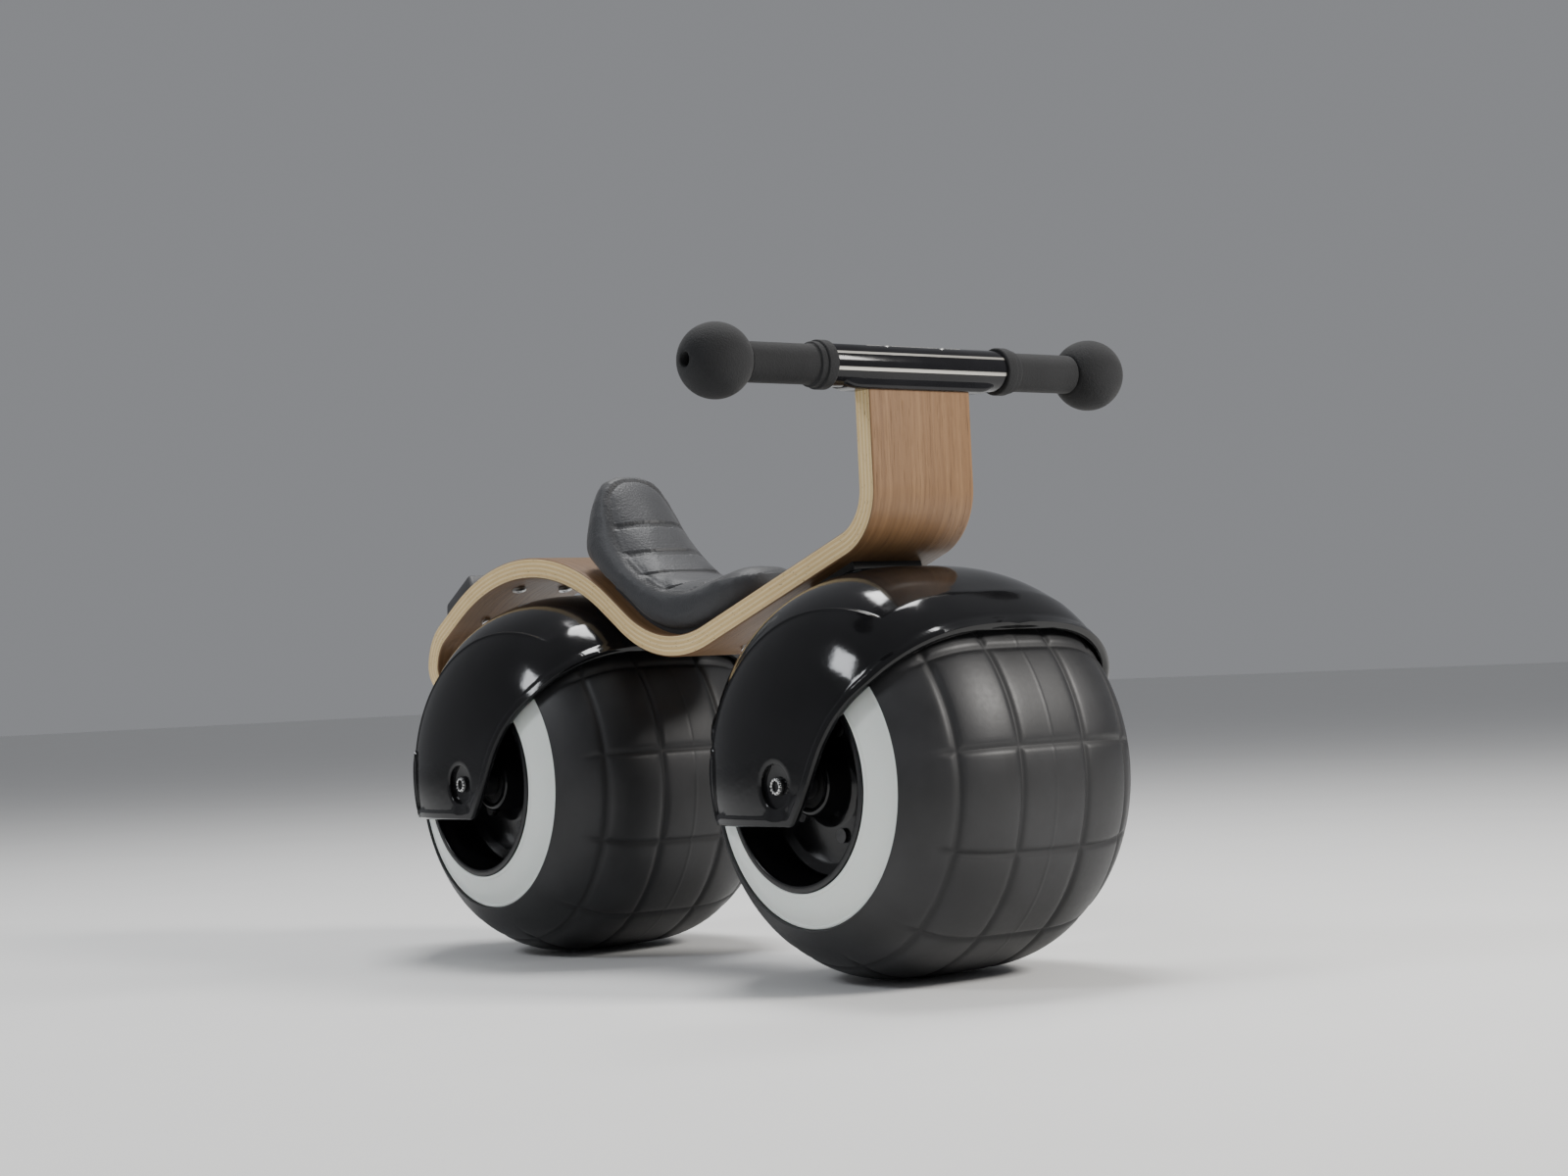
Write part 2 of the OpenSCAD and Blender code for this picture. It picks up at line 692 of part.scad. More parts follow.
module tyre(x) {
    back = ring_back(fit_gap);
    inner_end = back[0].y - tyre_wall;
    outer = barrel(tyre_r, tyre_b, tyre_full, tread_flat, tread_flat, shoulder_y);
    inner = barrel(tyre_r - tyre_wall, tyre_b - tyre_wall, tyre_full, tread_flat, tread_flat, inner_end);
    on_axle(x) rotate_extrude() difference() {
        mirrored_profile(concat(outer, [[ring_r + fit_gap, shoulder_y], [ring_r + fit_gap, back[0].y]],
            back, [[bead_r, back[1].y]]));
        mirrored_profile(concat([[bead_r - 1, 0]], inner,
            [[bead_r + bead_t, inner_end], [bead_r + bead_t, inner_end - bead_w],
                [bead_r - 1, inner_end - bead_w]]));
    }
}

module side_ring(x, side) {
    bulge = 1.5;
    mid = [(ring_r + ring_bore_r) / 2, (ring_y + ring_inner_y) / 2 + bulge];
    on_axle(x) mirror([0, 0, side < 0 ? 1 : 0]) rotate_extrude()
        polygon(concat([[ring_bore_r, ring_inner_y], mid, [ring_r, ring_y]], ring_back(0)));
}

boss_wall = 4;
stop_wall = 3;
boss_back = 6;
rim_out = 0.6;
dish_y = ring_inner_y - dish_depth;
hub_screw_pcd_r = 30;
hub_screw_r = 2;
valve_r = 3;
valve_at = 44;
module hub(x, side) {
    rim_y = ring_inner_y + rim_out;
    back_y = dish_y - hub_t;
    on_axle(x) mirror([0, 0, side < 0 ? 1 : 0]) difference() {
        rotate_extrude() polygon([
            [drum_r - hub_t, run_gap], [drum_r, run_gap], [drum_r, rim_y], [drum_r - hub_t, rim_y],
            [drum_r - hub_t, dish_y], [bearing_r + boss_wall, dish_y],
            [bearing_r + boss_wall, bearing_out + 1],
            [bearing_r, bearing_out + 1], [bearing_r, bearing_in], [bearing_r - stop_wall, bearing_in],
            [bearing_r - stop_wall, back_y - boss_back], [bearing_r + boss_wall, back_y - boss_back],
            [bearing_r + boss_wall, back_y], [drum_r - hub_t, back_y]]);
        for (i = [0:hub_screws - 1])
            rotate([0, 0, 360 * i / hub_screws])
                translate([hub_screw_pcd_r, 0, back_y - 1])
                    cylinder(r = hub_screw_r + run_gap, h = hub_t + 2);
        if (side > 0)
            translate([0, valve_at, back_y - 1]) cylinder(r = valve_r + fit_gap, h = hub_t + 2);
    }
}

// Long screws through both dishes, with a post between them
module hub_joining_screws(x) {
    on_axle(x) for (i = [0:hub_screws - 1])
        rotate([0, 0, 360 * i / hub_screws]) translate([hub_screw_pcd_r, 0, 0]) {
            cylinder(r = hub_screw_r, h = dish_y * 2, center = true);
            cylinder(r = hub_screw_r * 2, h = (dish_y - hub_t) * 2, center = true);
            for (end = [0, 1]) mirror([0, 0, end])
                translate([0, 0, dish_y]) cylinder(r = hub_screw_r * 2, h = hub_screw_r);
        }
}
valve_foot = 8;
valve_len = 10;
module valve(x) {
    on_axle(x) translate([0, valve_at, 0]) {
        translate([0, 0, dish_y - hub_t - valve_foot]) cylinder(r = valve_r * 1.5, h = valve_foot);
        translate([0, 0, dish_y - hub_t]) cylinder(r = valve_r, h = valve_len);
    }
}

module front_axle() color("silver") { axle(wheelbase); }
module rear_axle() color("silver") { axle(0); }
module front_axle_bolts() color("silver") { axle_bolts(wheelbase); }
module rear_axle_bolts() color("silver") { axle_bolts(0); }
module front_axle_spacers() color("gray") { axle_spacers(wheelbase); }
module rear_axle_spacers() color("gray") { axle_spacers(0); }
module front_bearing_sleeve() color("gray") { bearing_sleeve(wheelbase); }
module rear_bearing_sleeve() color("gray") { bearing_sleeve(0); }
module front_bearing_right() color("silver") { bearing(wheelbase, -1); }
module front_bearing_left() color("silver") { bearing(wheelbase, 1); }
module rear_bearing_right() color("silver") { bearing(0, -1); }
module rear_bearing_left() color("silver") { bearing(0, 1); }
module front_tyre() color("#1b1c1f") { tyre(wheelbase); }
module rear_tyre() color("#1b1c1f") { tyre(0); }
module front_ring_right() color("white") { side_ring(wheelbase, -1); }
module front_ring_left() color("white") { side_ring(wheelbase, 1); }
module rear_ring_right() color("white") { side_ring(0, -1); }
module rear_ring_left() color("white") { side_ring(0, 1); }
module front_hub_right() color("#101012") { hub(wheelbase, -1); }
module front_hub_left() color("#101012") { hub(wheelbase, 1); }
module rear_hub_right() color("#101012") { hub(0, -1); }
module rear_hub_left() color("#101012") { hub(0, 1); }
module front_hub_screws() color("silver") { hub_joining_screws(wheelbase); }
module rear_hub_screws() color("silver") { hub_joining_screws(0); }
module front_valve() color("dimgray") { valve(wheelbase); }
module rear_valve() color("dimgray") { valve(0); }

plywood_spine();
front_hood();
rear_hood();
front_packing();
rear_packing();
front_hood_screws();
rear_hood_screws();
hump_screws();
handlebar_tube();
bar_sleeve();
bar_screws();
bar_cross_nuts();
bar_plugs();
grip_right();
grip_left();
ball_right();
ball_left();
saddle_base();
saddle_pad();
saddle_screws();
saddle_tee_nuts();
tail_block();
tail_block_screws();
front_axle();
front_axle_bolts();
front_axle_spacers();
front_bearing_sleeve();
rear_axle();
rear_axle_bolts();
rear_axle_spacers();
rear_bearing_sleeve();
front_tyre();
front_hub_right();
front_hub_left();
front_ring_right();
front_ring_left();
front_bearing_right();
front_bearing_left();
front_hub_screws();
front_valve();
rear_tyre();
rear_hub_right();
rear_hub_left();
rear_ring_right();
rear_ring_left();
rear_bearing_right();
rear_bearing_left();
rear_hub_screws();
rear_valve();
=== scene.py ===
import math

import bmesh
import bpy
import numpy as np
from mathutils import Matrix, Vector


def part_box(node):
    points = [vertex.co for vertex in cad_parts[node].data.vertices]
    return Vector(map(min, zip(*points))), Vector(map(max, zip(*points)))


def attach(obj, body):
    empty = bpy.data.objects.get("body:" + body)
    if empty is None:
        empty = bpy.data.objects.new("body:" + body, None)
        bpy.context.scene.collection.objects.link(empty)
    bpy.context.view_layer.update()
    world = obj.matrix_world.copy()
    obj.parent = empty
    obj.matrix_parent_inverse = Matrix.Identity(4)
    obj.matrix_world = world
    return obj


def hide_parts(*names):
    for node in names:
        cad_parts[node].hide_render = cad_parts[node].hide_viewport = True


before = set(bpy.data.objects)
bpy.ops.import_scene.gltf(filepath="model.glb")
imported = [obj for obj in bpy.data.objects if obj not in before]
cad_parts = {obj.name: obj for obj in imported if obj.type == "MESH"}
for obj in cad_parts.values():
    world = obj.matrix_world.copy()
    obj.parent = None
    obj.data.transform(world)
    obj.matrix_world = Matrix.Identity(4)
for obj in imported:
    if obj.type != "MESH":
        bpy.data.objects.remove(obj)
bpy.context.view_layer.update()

# ---- Camera, floor and lights ------------------------------------------------------------------
# Seen from ahead and to the rider's right, from just below the height of the wheels' tops.
# The floor is one broad pale sheet, and three soft lights hang round the bike.

azimuth, elevation, roll = math.radians(52.03), math.radians(-1.763), math.radians(-2.615)
aim, distance = Vector((0.0252, 0.0287, 0.2213)), 1.6899
back = Vector((math.sin(azimuth) * math.cos(elevation),
               -math.cos(azimuth) * math.cos(elevation), math.sin(elevation)))
right = Vector((0, 0, 1)).cross(back).normalized()
turned = Matrix((right, back.cross(right), back)).transposed().to_4x4()
camera = bpy.data.objects.new("camera", bpy.data.cameras.new("camera"))
camera.data.lens, camera.data.sensor_width, camera.data.clip_end = 64.33, 36, 60
camera.matrix_world = Matrix.Translation(aim + back * distance) @ turned @ Matrix.Rotation(roll, 4, "Z")
bpy.context.scene.collection.objects.link(camera)
bpy.context.scene.camera = camera

sky = bpy.data.worlds.new("sky")
bpy.context.scene.world = sky
sky.use_nodes = True
sky.node_tree.nodes["Background"].inputs["Color"].default_value = (0.93, 0.95, 1, 1)
sky.node_tree.nodes["Background"].inputs["Strength"].default_value = 0.27


def soft_light(name, place, size, power, tint):
    """A square light of the given side at place, turned to face the bike's middle."""
    light = bpy.data.lights.new(name, "AREA")
    light.size, light.energy, light.color = size, power, tint
    lamp = bpy.data.objects.new(name, light)
    lamp.matrix_world = (Matrix.Translation(place)
                         @ (Vector(place) - aim).to_track_quat("Z", "Y").to_matrix().to_4x4())
    bpy.context.scene.collection.objects.link(lamp)


soft_light("key", (1.5, 0.7, 1.2), 0.5, 38, (1, 0.97, 0.93))
soft_light("fill", (-0.6, -1.8, 1.6), 0.5, 17, (0.93, 0.96, 1))
soft_light("top", (-0.5, 0.4, 2.2), 0.7, 40, (1, 1, 1))


def operator(operation, swapped=False):
    """A method for class Value that adds one Math node. Swapped puts the other term first."""
    def method(self, other):
        return self.math(operation, other, self) if swapped else self.math(operation, self, other)
    return method


class Value:
    """A shader socket that takes Python arithmetic: each operator adds one Math node."""

    def __init__(self, finish, socket):
        self.finish, self.socket = finish, socket

    def math(self, operation, *terms):
        """Math node on the given terms, which are Values or numbers."""
        return self.finish.node("Math", {"operation": operation}, dict(enumerate(terms)))

    __add__, __radd__ = operator("ADD"), operator("ADD", True)
    __sub__, __rsub__ = operator("SUBTRACT"), operator("SUBTRACT", True)
    __mul__, __rmul__ = operator("MULTIPLY"), operator("MULTIPLY", True)
    __truediv__, __pow__ = operator("DIVIDE"), operator("POWER")

    def __abs__(self):
        return self.math("ABSOLUTE", self)

    def wave(self):
        """Sine of the value, in radians."""
        return self.math("SINE", self)

    def angle_to(self, other):
        """Angle of the point (other, self) from the first axis, in radians."""
        return self.math("ARCTAN2", self, other)

    def step(self, low, high):
        """0 below low, 1 above high, and a smooth step between them."""
        return self.finish.node(
            "MapRange", {"interpolation_type": "SMOOTHSTEP"},
            {"Value": self, "From Min": low, "From Max": high}, out="Result")


class Finish:
    """One material: its Principled shader, and the nodes that feed it. A socket takes a number, a
    colour or a Value."""

    def __init__(self, name, sockets):
        self.material = bpy.data.materials.new(name)
        self.material.use_nodes = True
        self.tree = self.material.node_tree
        self.shader = self.tree.nodes["Principled BSDF"]
        self.set(sockets)

    def plug(self, socket, value):
        if isinstance(value, Value):
            self.tree.links.new(value.socket, socket)
        elif isinstance(value, tuple) and len(value) == 3 and socket.type == "RGBA":
            socket.default_value = (*value, 1)
        else:
            socket.default_value = value

    def set(self, sockets):
        for name, value in sockets.items():
            self.plug(self.shader.inputs[name], value)

    def node(self, kind, settings=None, inputs=None, out=0):
        """Any other node: its settings first, then its sockets. Gives the chosen output."""
        made = self.tree.nodes.new("ShaderNode" + kind)
        for name, value in (settings or {}).items():
            setattr(made, name, value)
        for name, value in (inputs or {}).items():
            self.plug(made.inputs[name], value)
        return Value(self, made.outputs[out])

    def place(self):
        return self.node("TexCoord", out="Object")

    def axes(self, vector):
        """The three parts of a vector, as Values."""
        split = self.node("SeparateXYZ", inputs={"Vector": vector})
        return [Value(self, output) for output in split.socket.node.outputs]

    def stretch(self, vector, scale):
        return self.node("VectorMath", {"operation": "MULTIPLY"}, {0: vector, 1: scale})

    def noise(self, vector, per_metre, detail=3.0):
        """Soft noise from 0 to 1, with per_metre features to a metre."""
        inputs = {"Vector": vector, "Scale": per_metre, "Detail": detail}
        return self.node("TexNoise", None, inputs, out="Fac")

    def cells(self, vector, per_metre, feature):
        """Distance to the nearest of scattered points, with per_metre cells to a metre."""
        inputs = {"Vector": vector, "Scale": per_metre}
        return self.node("TexVoronoi", {"feature": feature}, inputs, out="Distance")

    def marked(self, name):
        """The three numbers that the mesh carries at each point under the given name."""
        return self.node("Attribute", {"attribute_name": name}, out="Vector")

    def mix(self, share, first, second):
        """Colour that goes from first to second as share goes from 0 to 1."""
        return self.node("Mix", {"data_type": "RGBA"}, {0: share, 6: first, 7: second}, out=2)

    def bump(self, height, depth):
        """Bumps of the given height pattern, depth metres deep."""
        self.set({"Normal": self.node("Bump", None, {"Height": height, "Distance": depth, "Strength": 1.0})})


floor_finish = Finish("floor_paper", {"Roughness": 0.62})
paper = floor_finish.noise(floor_finish.place(), 7.0)
floor_finish.set({"Base Color": floor_finish.mix(paper, (0.80, 0.80, 0.79), (0.84, 0.84, 0.83))})
sheet = bpy.data.meshes.new("floor")
sheet.from_pydata([(-16, -16, -0.0004), (16, -16, -0.0004), (16, 16, -0.0004), (-16, 16, -0.0004)],
                  [], [(0, 1, 2, 3)])
sheet.materials.append(floor_finish.material)
floor = bpy.data.objects.new("floor", sheet)
bpy.context.scene.collection.objects.link(floor)

# ---- Plywood spine -----------------------------------------------------------------------------
# One strip of pressed birch plies, 73 mm wide and 13 mm thick, faced with oak veneer and lacquered.
# It runs from the tail over the hump, down to the saddle's dip and up into the head under the bar.
# The edges show the plies. The tail's corners are cut round.

mm = 0.001
rear_axle_x = sum(corner[0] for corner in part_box("rear_tyre")) / 2
front_axle_x = sum(corner[0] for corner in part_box("front_tyre")) / 2
axle_z = sum(corner[2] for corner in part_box("front_tyre")) / 2
ends, sides = (("front", front_axle_x), ("rear", rear_axle_x)), (("right", -1), ("left", 1))


def rounded_path(corners, radii, arc_points=16):
    """Corners joined by straight lines, each inner corner replaced by an arc of its radius that
    touches both lines: it starts r tan(turn / 2) before the corner."""
    parts = [corners[:1]]
    for before, corner, after, radius in zip(corners, corners[1:], corners[2:], radii):
        into = (corner - before) / np.hypot(*(corner - before))
        out = (after - corner) / np.hypot(*(after - corner))
        turn = math.atan2(into[0] * out[1] - into[1] * out[0], into @ out)
        if radius == 0 or turn == 0:
            parts.append(corner[None])
            continue
        heading = math.atan2(into[1], into[0]) + np.linspace(0, turn, arc_points)
        start = corner - into * radius * math.tan(abs(turn) / 2)
        side = math.copysign(radius, turn)
        centre = start + side * np.array([-into[1], into[0]])
        parts.append(centre - side * np.stack([-np.sin(heading), np.cos(heading)], 1))
    return np.vstack(parts + [corners[-1:]])


def evenly(line, step):
    """The same line with its points about one step apart. Gives the points and their distances."""
    along = np.concatenate([[0], np.cumsum(np.linalg.norm(np.diff(line, axis=0), axis=1))])
    marks = np.linspace(0, along[-1], max(int(along[-1] / step), 2) + 1)
    return np.stack([np.interp(marks, along, line[:, k]) for k in range(line.shape[1])], 1), marks


def grid_faces(rows, columns, wrap_rows=False, wrap_columns=False, start=0):
    """Quads of a grid of points numbered row by row, closed round on either side if asked."""
    i = np.arange(rows if wrap_rows else rows - 1)[:, None]
    j = np.arange(columns if wrap_columns else columns - 1)[None, :]
    i2, j2 = (i + 1) % rows, (j + 1) % columns
    quads = np.stack([i * columns + j, i2 * columns + j, i2 * columns + j2, i * columns + j2], -1)
    return quads.reshape(-1, 4) + start


def add_piece(name, points, faces, finish, body, nodes=(), sharp=38, attribute=None):
    """Makes a mesh of the points and faces, closes its seams, turns its faces outwards, and rides
    it on its body. Edges that turn by more than sharp degrees stay crisp."""
    mesh = bpy.data.meshes.new(name)
    mesh.from_pydata(np.asarray(points).reshape(-1, 3).tolist(), [], [list(face) for face in faces])
    if attribute:
        layer = mesh.attributes.new(attribute[0], "FLOAT_VECTOR", "POINT")
        layer.data.foreach_set("vector", np.asarray(attribute[1], dtype=np.float32).ravel())
    shape = bmesh.new()
    shape.from_mesh(mesh)
    bmesh.ops.remove_doubles(shape, verts=shape.verts, dist=2e-6)
    bmesh.ops.dissolve_degenerate(shape, edges=shape.edges, dist=1e-7)
    bmesh.ops.recalc_face_normals(shape, faces=shape.faces)
    if shape.calc_volume(signed=True) < 0:
        bmesh.ops.reverse_faces(shape, faces=shape.faces)
    shape.to_mesh(mesh)
    shape.free()
    mesh.set_sharp_from_angle(angle=math.radians(sharp))
    mesh.materials.append(finish.material)
    piece = bpy.data.objects.new(name, mesh)
    bpy.context.scene.collection.objects.link(piece)
    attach(piece, body)
    if nodes:
        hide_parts(*nodes)
    return piece


def heading_of(degrees):
    return np.array([math.cos(math.radians(degrees)), math.sin(math.radians(degrees))])


def meet(first, first_slope, second, second_slope):
    """Where the line through first at its slope meets the line through second at its slope."""
    across_second = heading_of(second_slope + 90)
    travel = ((second - first) @ across_second) / (heading_of(first_slope) @ across_second)
    return first + heading_of(first_slope) * travel


# Side view in mm, from the floor below the rear axle. The strip clears each hood by its gap.
ply_half_width, ply_half_thick, tail_round = 36.5, 6.5, 28.0
tail_slope, fall_slope, rise_slope, tip_slope = 31.9, -33.5, 18.8, 96.0
tail_radius, hump_radius, dip_radius, bend_radius = 30.0, 160.0, 96.0, 32.0
tail_length, tip_length, hump_gap, front_gap, hood_radius = 146.0, 40.0, 10.0, 2.0, 118.0
head_ahead, head_height = 9.0, 326.0
rear_axle = np.array([0.0, axle_z / mm])
front_axle = np.array([(front_axle_x - rear_axle_x) / mm, axle_z / mm])
half_hump = math.radians((tail_slope - fall_slope) / 2)
hump_rise = hump_radius * (1 / math.cos(half_hump) - 1)
hump_corner = np.array([-14.0, axle_z / mm + hood_radius + hump_gap + ply_half_thick + hump_rise])
rise_foot = front_axle + heading_of(rise_slope + 90) * (hood_radius + front_gap + ply_half_thick)
dip_corner = meet(hump_corner, fall_slope, rise_foot, rise_slope)
head_place = np.array([front_axle[0] + head_ahead, head_height])
head_corner = meet(rise_foot, rise_slope, head_place, 90)
tail_corner = hump_corner - heading_of(tail_slope) * tail_length
tail_tip = tail_corner - heading_of(tip_slope) * tip_length
ply_path = rounded_path(np.array([tail_tip, tail_corner, hump_corner, dip_corner, head_corner, head_place]),
                        [tail_radius, hump_radius, dip_radius, bend_radius], 40)
ply_line, ply_along = evenly(ply_path, 1.6)
ply_heading = np.arctan2(*np.gradient(ply_line, axis=0).T[::-1])
ply_half = np.full(len(ply_along), ply_half_width)
in_tail = ply_along < tail_round
ply_half[in_tail] += np.sqrt(tail_round ** 2 - (tail_round - ply_along[in_tail]) ** 2) - tail_round
# Across the strip: a rectangle whose four corners are quarter circles of edge_round
edge_round, corner_points = 1.3, 5
corner_turn = np.radians(np.linspace(0, 90, corner_points))
quarter = np.stack([np.cos(corner_turn), np.sin(corner_turn)], 1) * edge_round
section_signs = np.repeat([[1, 1], [-1, 1], [-1, -1], [1, -1]], corner_points, 0)
section_arc = np.vstack([quarter, quarter[::-1], quarter, quarter[::-1]]) * section_signs
across = (ply_half[:, None] - edge_round) * section_signs[:, 0] + section_arc[:, 0]
section_up = (ply_half_thick - edge_round) * section_signs[:, 1] + section_arc[:, 1]
through = np.broadcast_to(section_up, across.shape)
ply_points = np.stack([
    rear_axle_x + mm * (ply_line[:, :1] - np.sin(ply_heading)[:, None] * through), mm * across,
    mm * (ply_line[:, 1:] + np.cos(ply_heading)[:, None] * through)], -1)
rows, columns = across.shape
board = np.stack([np.broadcast_to(ply_along[:, None], across.shape), across, through], -1) * mm

oak = Finish("oak_faced_birch_ply", {"Coat Weight": 0.12, "Coat Roughness": 0.3, "IOR": 1.45})
board_place = oak.marked("board")
along, across_board, through_board = oak.axes(board_place)
wander = oak.noise(oak.stretch(board_place, (9.0, 60.0, 0.0)), 1.0, 2.0)
figure = oak.noise(oak.stretch(board_place, (5.0, 260.0, 0.0)), 1.0, 4.0)
rings = ((across_board * 1700.0 + wander * 22.0 + figure * 5.0).wave() * 0.5 + 0.5) ** 2.0
pores = oak.noise(oak.stretch(board_place, (55.0, 2600.0, 40.0)), 1.0, 2.0).step(0.60, 0.72)
flecks = oak.noise(oak.stretch(board_place, (130.0, 900.0, 40.0)), 1.0, 2.0).step(0.62, 0.75)
face = oak.mix(figure.step(0.25, 0.78), (0.185, 0.098, 0.043), (0.265, 0.150, 0.070))
face = oak.mix(rings * 0.22, face, (0.130, 0.064, 0.027))
face = oak.mix(flecks * 0.22, face, (0.34, 0.21, 0.105))
face = oak.mix(pores * 0.5, face, (0.075, 0.036, 0.016))
ply_count, veneer = 9, 0.6
layer = (through_board + ply_half_thick * mm) / (2 * ply_half_thick * mm / ply_count)
glue = abs((layer * math.pi).wave()).step(0.0, 0.16)
cross_layer = ((layer * math.pi).wave() * 4.0).step(-0.6, 0.6)
edge_grain = oak.noise(oak.stretch(board_place, (70.0, 70.0, 1500.0)), 1.0, 3.0)
end_specks = oak.noise(oak.stretch(board_place, (420.0, 420.0, 1300.0)), 1.0, 1.0).step(0.68, 0.76)
edge = oak.mix(cross_layer, (0.74, 0.53, 0.25), (0.86, 0.68, 0.38))
edge = oak.mix(edge_grain.step(0.35, 0.7) * 0.30, edge, (0.62, 0.42, 0.18))
edge = oak.mix(1.0 - glue, edge, (0.50, 0.32, 0.13))
edge = oak.mix(end_specks * 0.7, edge, (0.20, 0.10, 0.045))
is_face = abs(through_board).step((ply_half_thick - veneer - 0.35) * mm, (ply_half_thick - veneer) * mm)
oak.set({"Base Color": oak.mix(is_face, edge, face),
         "Roughness": 0.42 + pores * 0.2 + wander * 0.12 + (1.0 - is_face) * 0.14})
oak.bump(rings * 0.25 - pores * 0.8 + (1.0 - is_face) * (glue * 0.7 + edge_grain * 0.4), 0.00016)
loops = np.arange(columns)
add_piece("spine_board", ply_points,
          [*grid_faces(rows, columns, wrap_columns=True), loops, loops + (rows - 1) * columns],
          oak, "frame", ["plywood_spine"], attribute=("board", board))

# ---- Hoods -------------------------------------------------------------------------------------
# Two like hoods moulded in gloss black, each half a barrel over its tyre with a flat leg each side
# down to the axle. A crease follows the leg and runs up over the crown, which is set back behind it.
# Each leg has a round recess for the bolt's head, and a thicker boss inside it.

hood_half, hood_full, hood_wall = 102.0, 2.8, 3.5
bolt_hole, recess, recess_floor, boss, boss_face = 3.3, 12.0, 99.0, 17.0, 96.5
hood_front = np.array([[-65, -21], [13, -21], [21, -10], [28, 2], [37, 20], [45, 33], [54, 44], [64, 54],
                       [75, 67], [88, 83.0]])
hood_rear = np.array([[-118, 46.7], [-84, 33.6], [-65, 16], [-65, -21.0]])


def barrel_out(radius, outer, half):
    """Distance of a barrel's side from the middle plane, where its radius is the given one:
    half (1 - (radius / outer)^n)^(1 / n)."""
    return half * np.clip(1 - (radius / outer) ** hood_full, 0, 1) ** (1 / hood_full)


def lip_points(corners, radii, count):
    """The part of the hood's edge inside its outer radius, as (x, z) about the axle, with the
    points evenly apart on the barrel itself."""
    line, _ = evenly(rounded_path(corners, radii), 0.05)
    line = line[np.hypot(*line.T) <= hood_radius]
    bent = np.column_stack([line, barrel_out(np.hypot(*line.T), hood_radius, hood_half)])
    travel = np.concatenate([[0], np.cumsum(np.linalg.norm(np.diff(bent, axis=0), axis=1))])
    marks = np.linspace(0, travel[-1], count)
    return np.stack([np.interp(marks, travel, line[:, k]) for k in (0, 1)], 1)


front_lip = lip_points(hood_front, [4, 9, 20, 40, 60, 50, 60, 90], 130)
rear_lip = lip_points(hood_rear, [26, 9], 74)
front_turn = np.unwrap(np.arctan2(front_lip[:, 1], front_lip[:, 0]))
rear_turn = np.unwrap(np.arctan2(rear_lip[:, 1], rear_lip[:, 0]))
rear_turn += 2 * math.pi * round((2.75 - rear_turn[0]) / (2 * math.pi))
front_turn += 2 * math.pi * round((0.75 - front_turn[-1]) / (2 * math.pi))
crown_turn = np.linspace(front_turn[-1], rear_turn[0], 92)[1:-1]
hood_turn = np.concatenate([front_turn, crown_turn, rear_turn[:-1]])
hood_reach = np.concatenate([np.hypot(*front_lip.T), np.full(len(crown_turn), hood_radius),
                             np.hypot(*rear_lip[:-1].T)])
is_crown = (np.arange(len(hood_turn)) >= len(front_turn) - 1) & \
           (np.arange(len(hood_turn)) <= len(front_turn) + len(crown_turn))
hood_reach[is_crown] = hood_radius

# The crease is a circle in side view, centred ahead of the axle and above it. Behind it the crown
# is set back, by a depth that fades in as the crease leaves the front of the dome.
crease_centre, crease_radius, crown_set_back, crease_width = np.array([20.0, 8.0]), 85.0, 2.6, 1.3
ridge_share, ridge_most, ridge_width, fade_from = 0.3, 2.0, 0.9, math.radians(58)
bead_height, bead_width, bead_edge = 1.1, 3.4, 1.5
toward = np.stack([np.cos(hood_turn), np.sin(hood_turn)], 1)
ahead = toward @ crease_centre
crease_at = ahead + np.sqrt(ahead ** 2 + crease_radius ** 2 - crease_centre @ crease_centre)


def smooth(share):
    """0 to 1 with level ends: 3 s^2 - 2 s^3, where s is the share held between 0 and 1."""
    held = np.clip(share, 0, 1)
    return held ** 2 * (3 - 2 * held)


def lip_bead(radius, out):
    """Height of the bead along the lip: bead_height, falling away beyond bead_width from the lip."""
    sheet = np.stack([radius * toward[:, 0], out, radius * toward[:, 1]], -1)
    lip = sheet[-1][~is_crown]
    near = np.full(radius.shape, np.inf)
    for first in range(0, len(lip), 24):
        away = sheet[:, :, None] - lip[None, None, first:first + 24]
        near = np.minimum(near, np.sqrt((away ** 2).sum(-1)).min(-1))
    return bead_height * (1 - smooth((near - bead_width) / bead_edge))


def crown_depth(radius, out):
    """How far the outer sheet lies below the plain barrel: the crown's set-back, less the ridge
    along the crease and the bead along the lip."""
    fade = np.clip(np.sin(hood_turn - fade_from), 0, 1) ** 0.45 * crown_set_back
    ridge = ridge_share * np.minimum(fade, ridge_most) * np.exp(-((radius - crease_at) / ridge_width) ** 2)
    return fade * smooth((radius - crease_at) / crease_width) - ridge - lip_bead(radius, out)


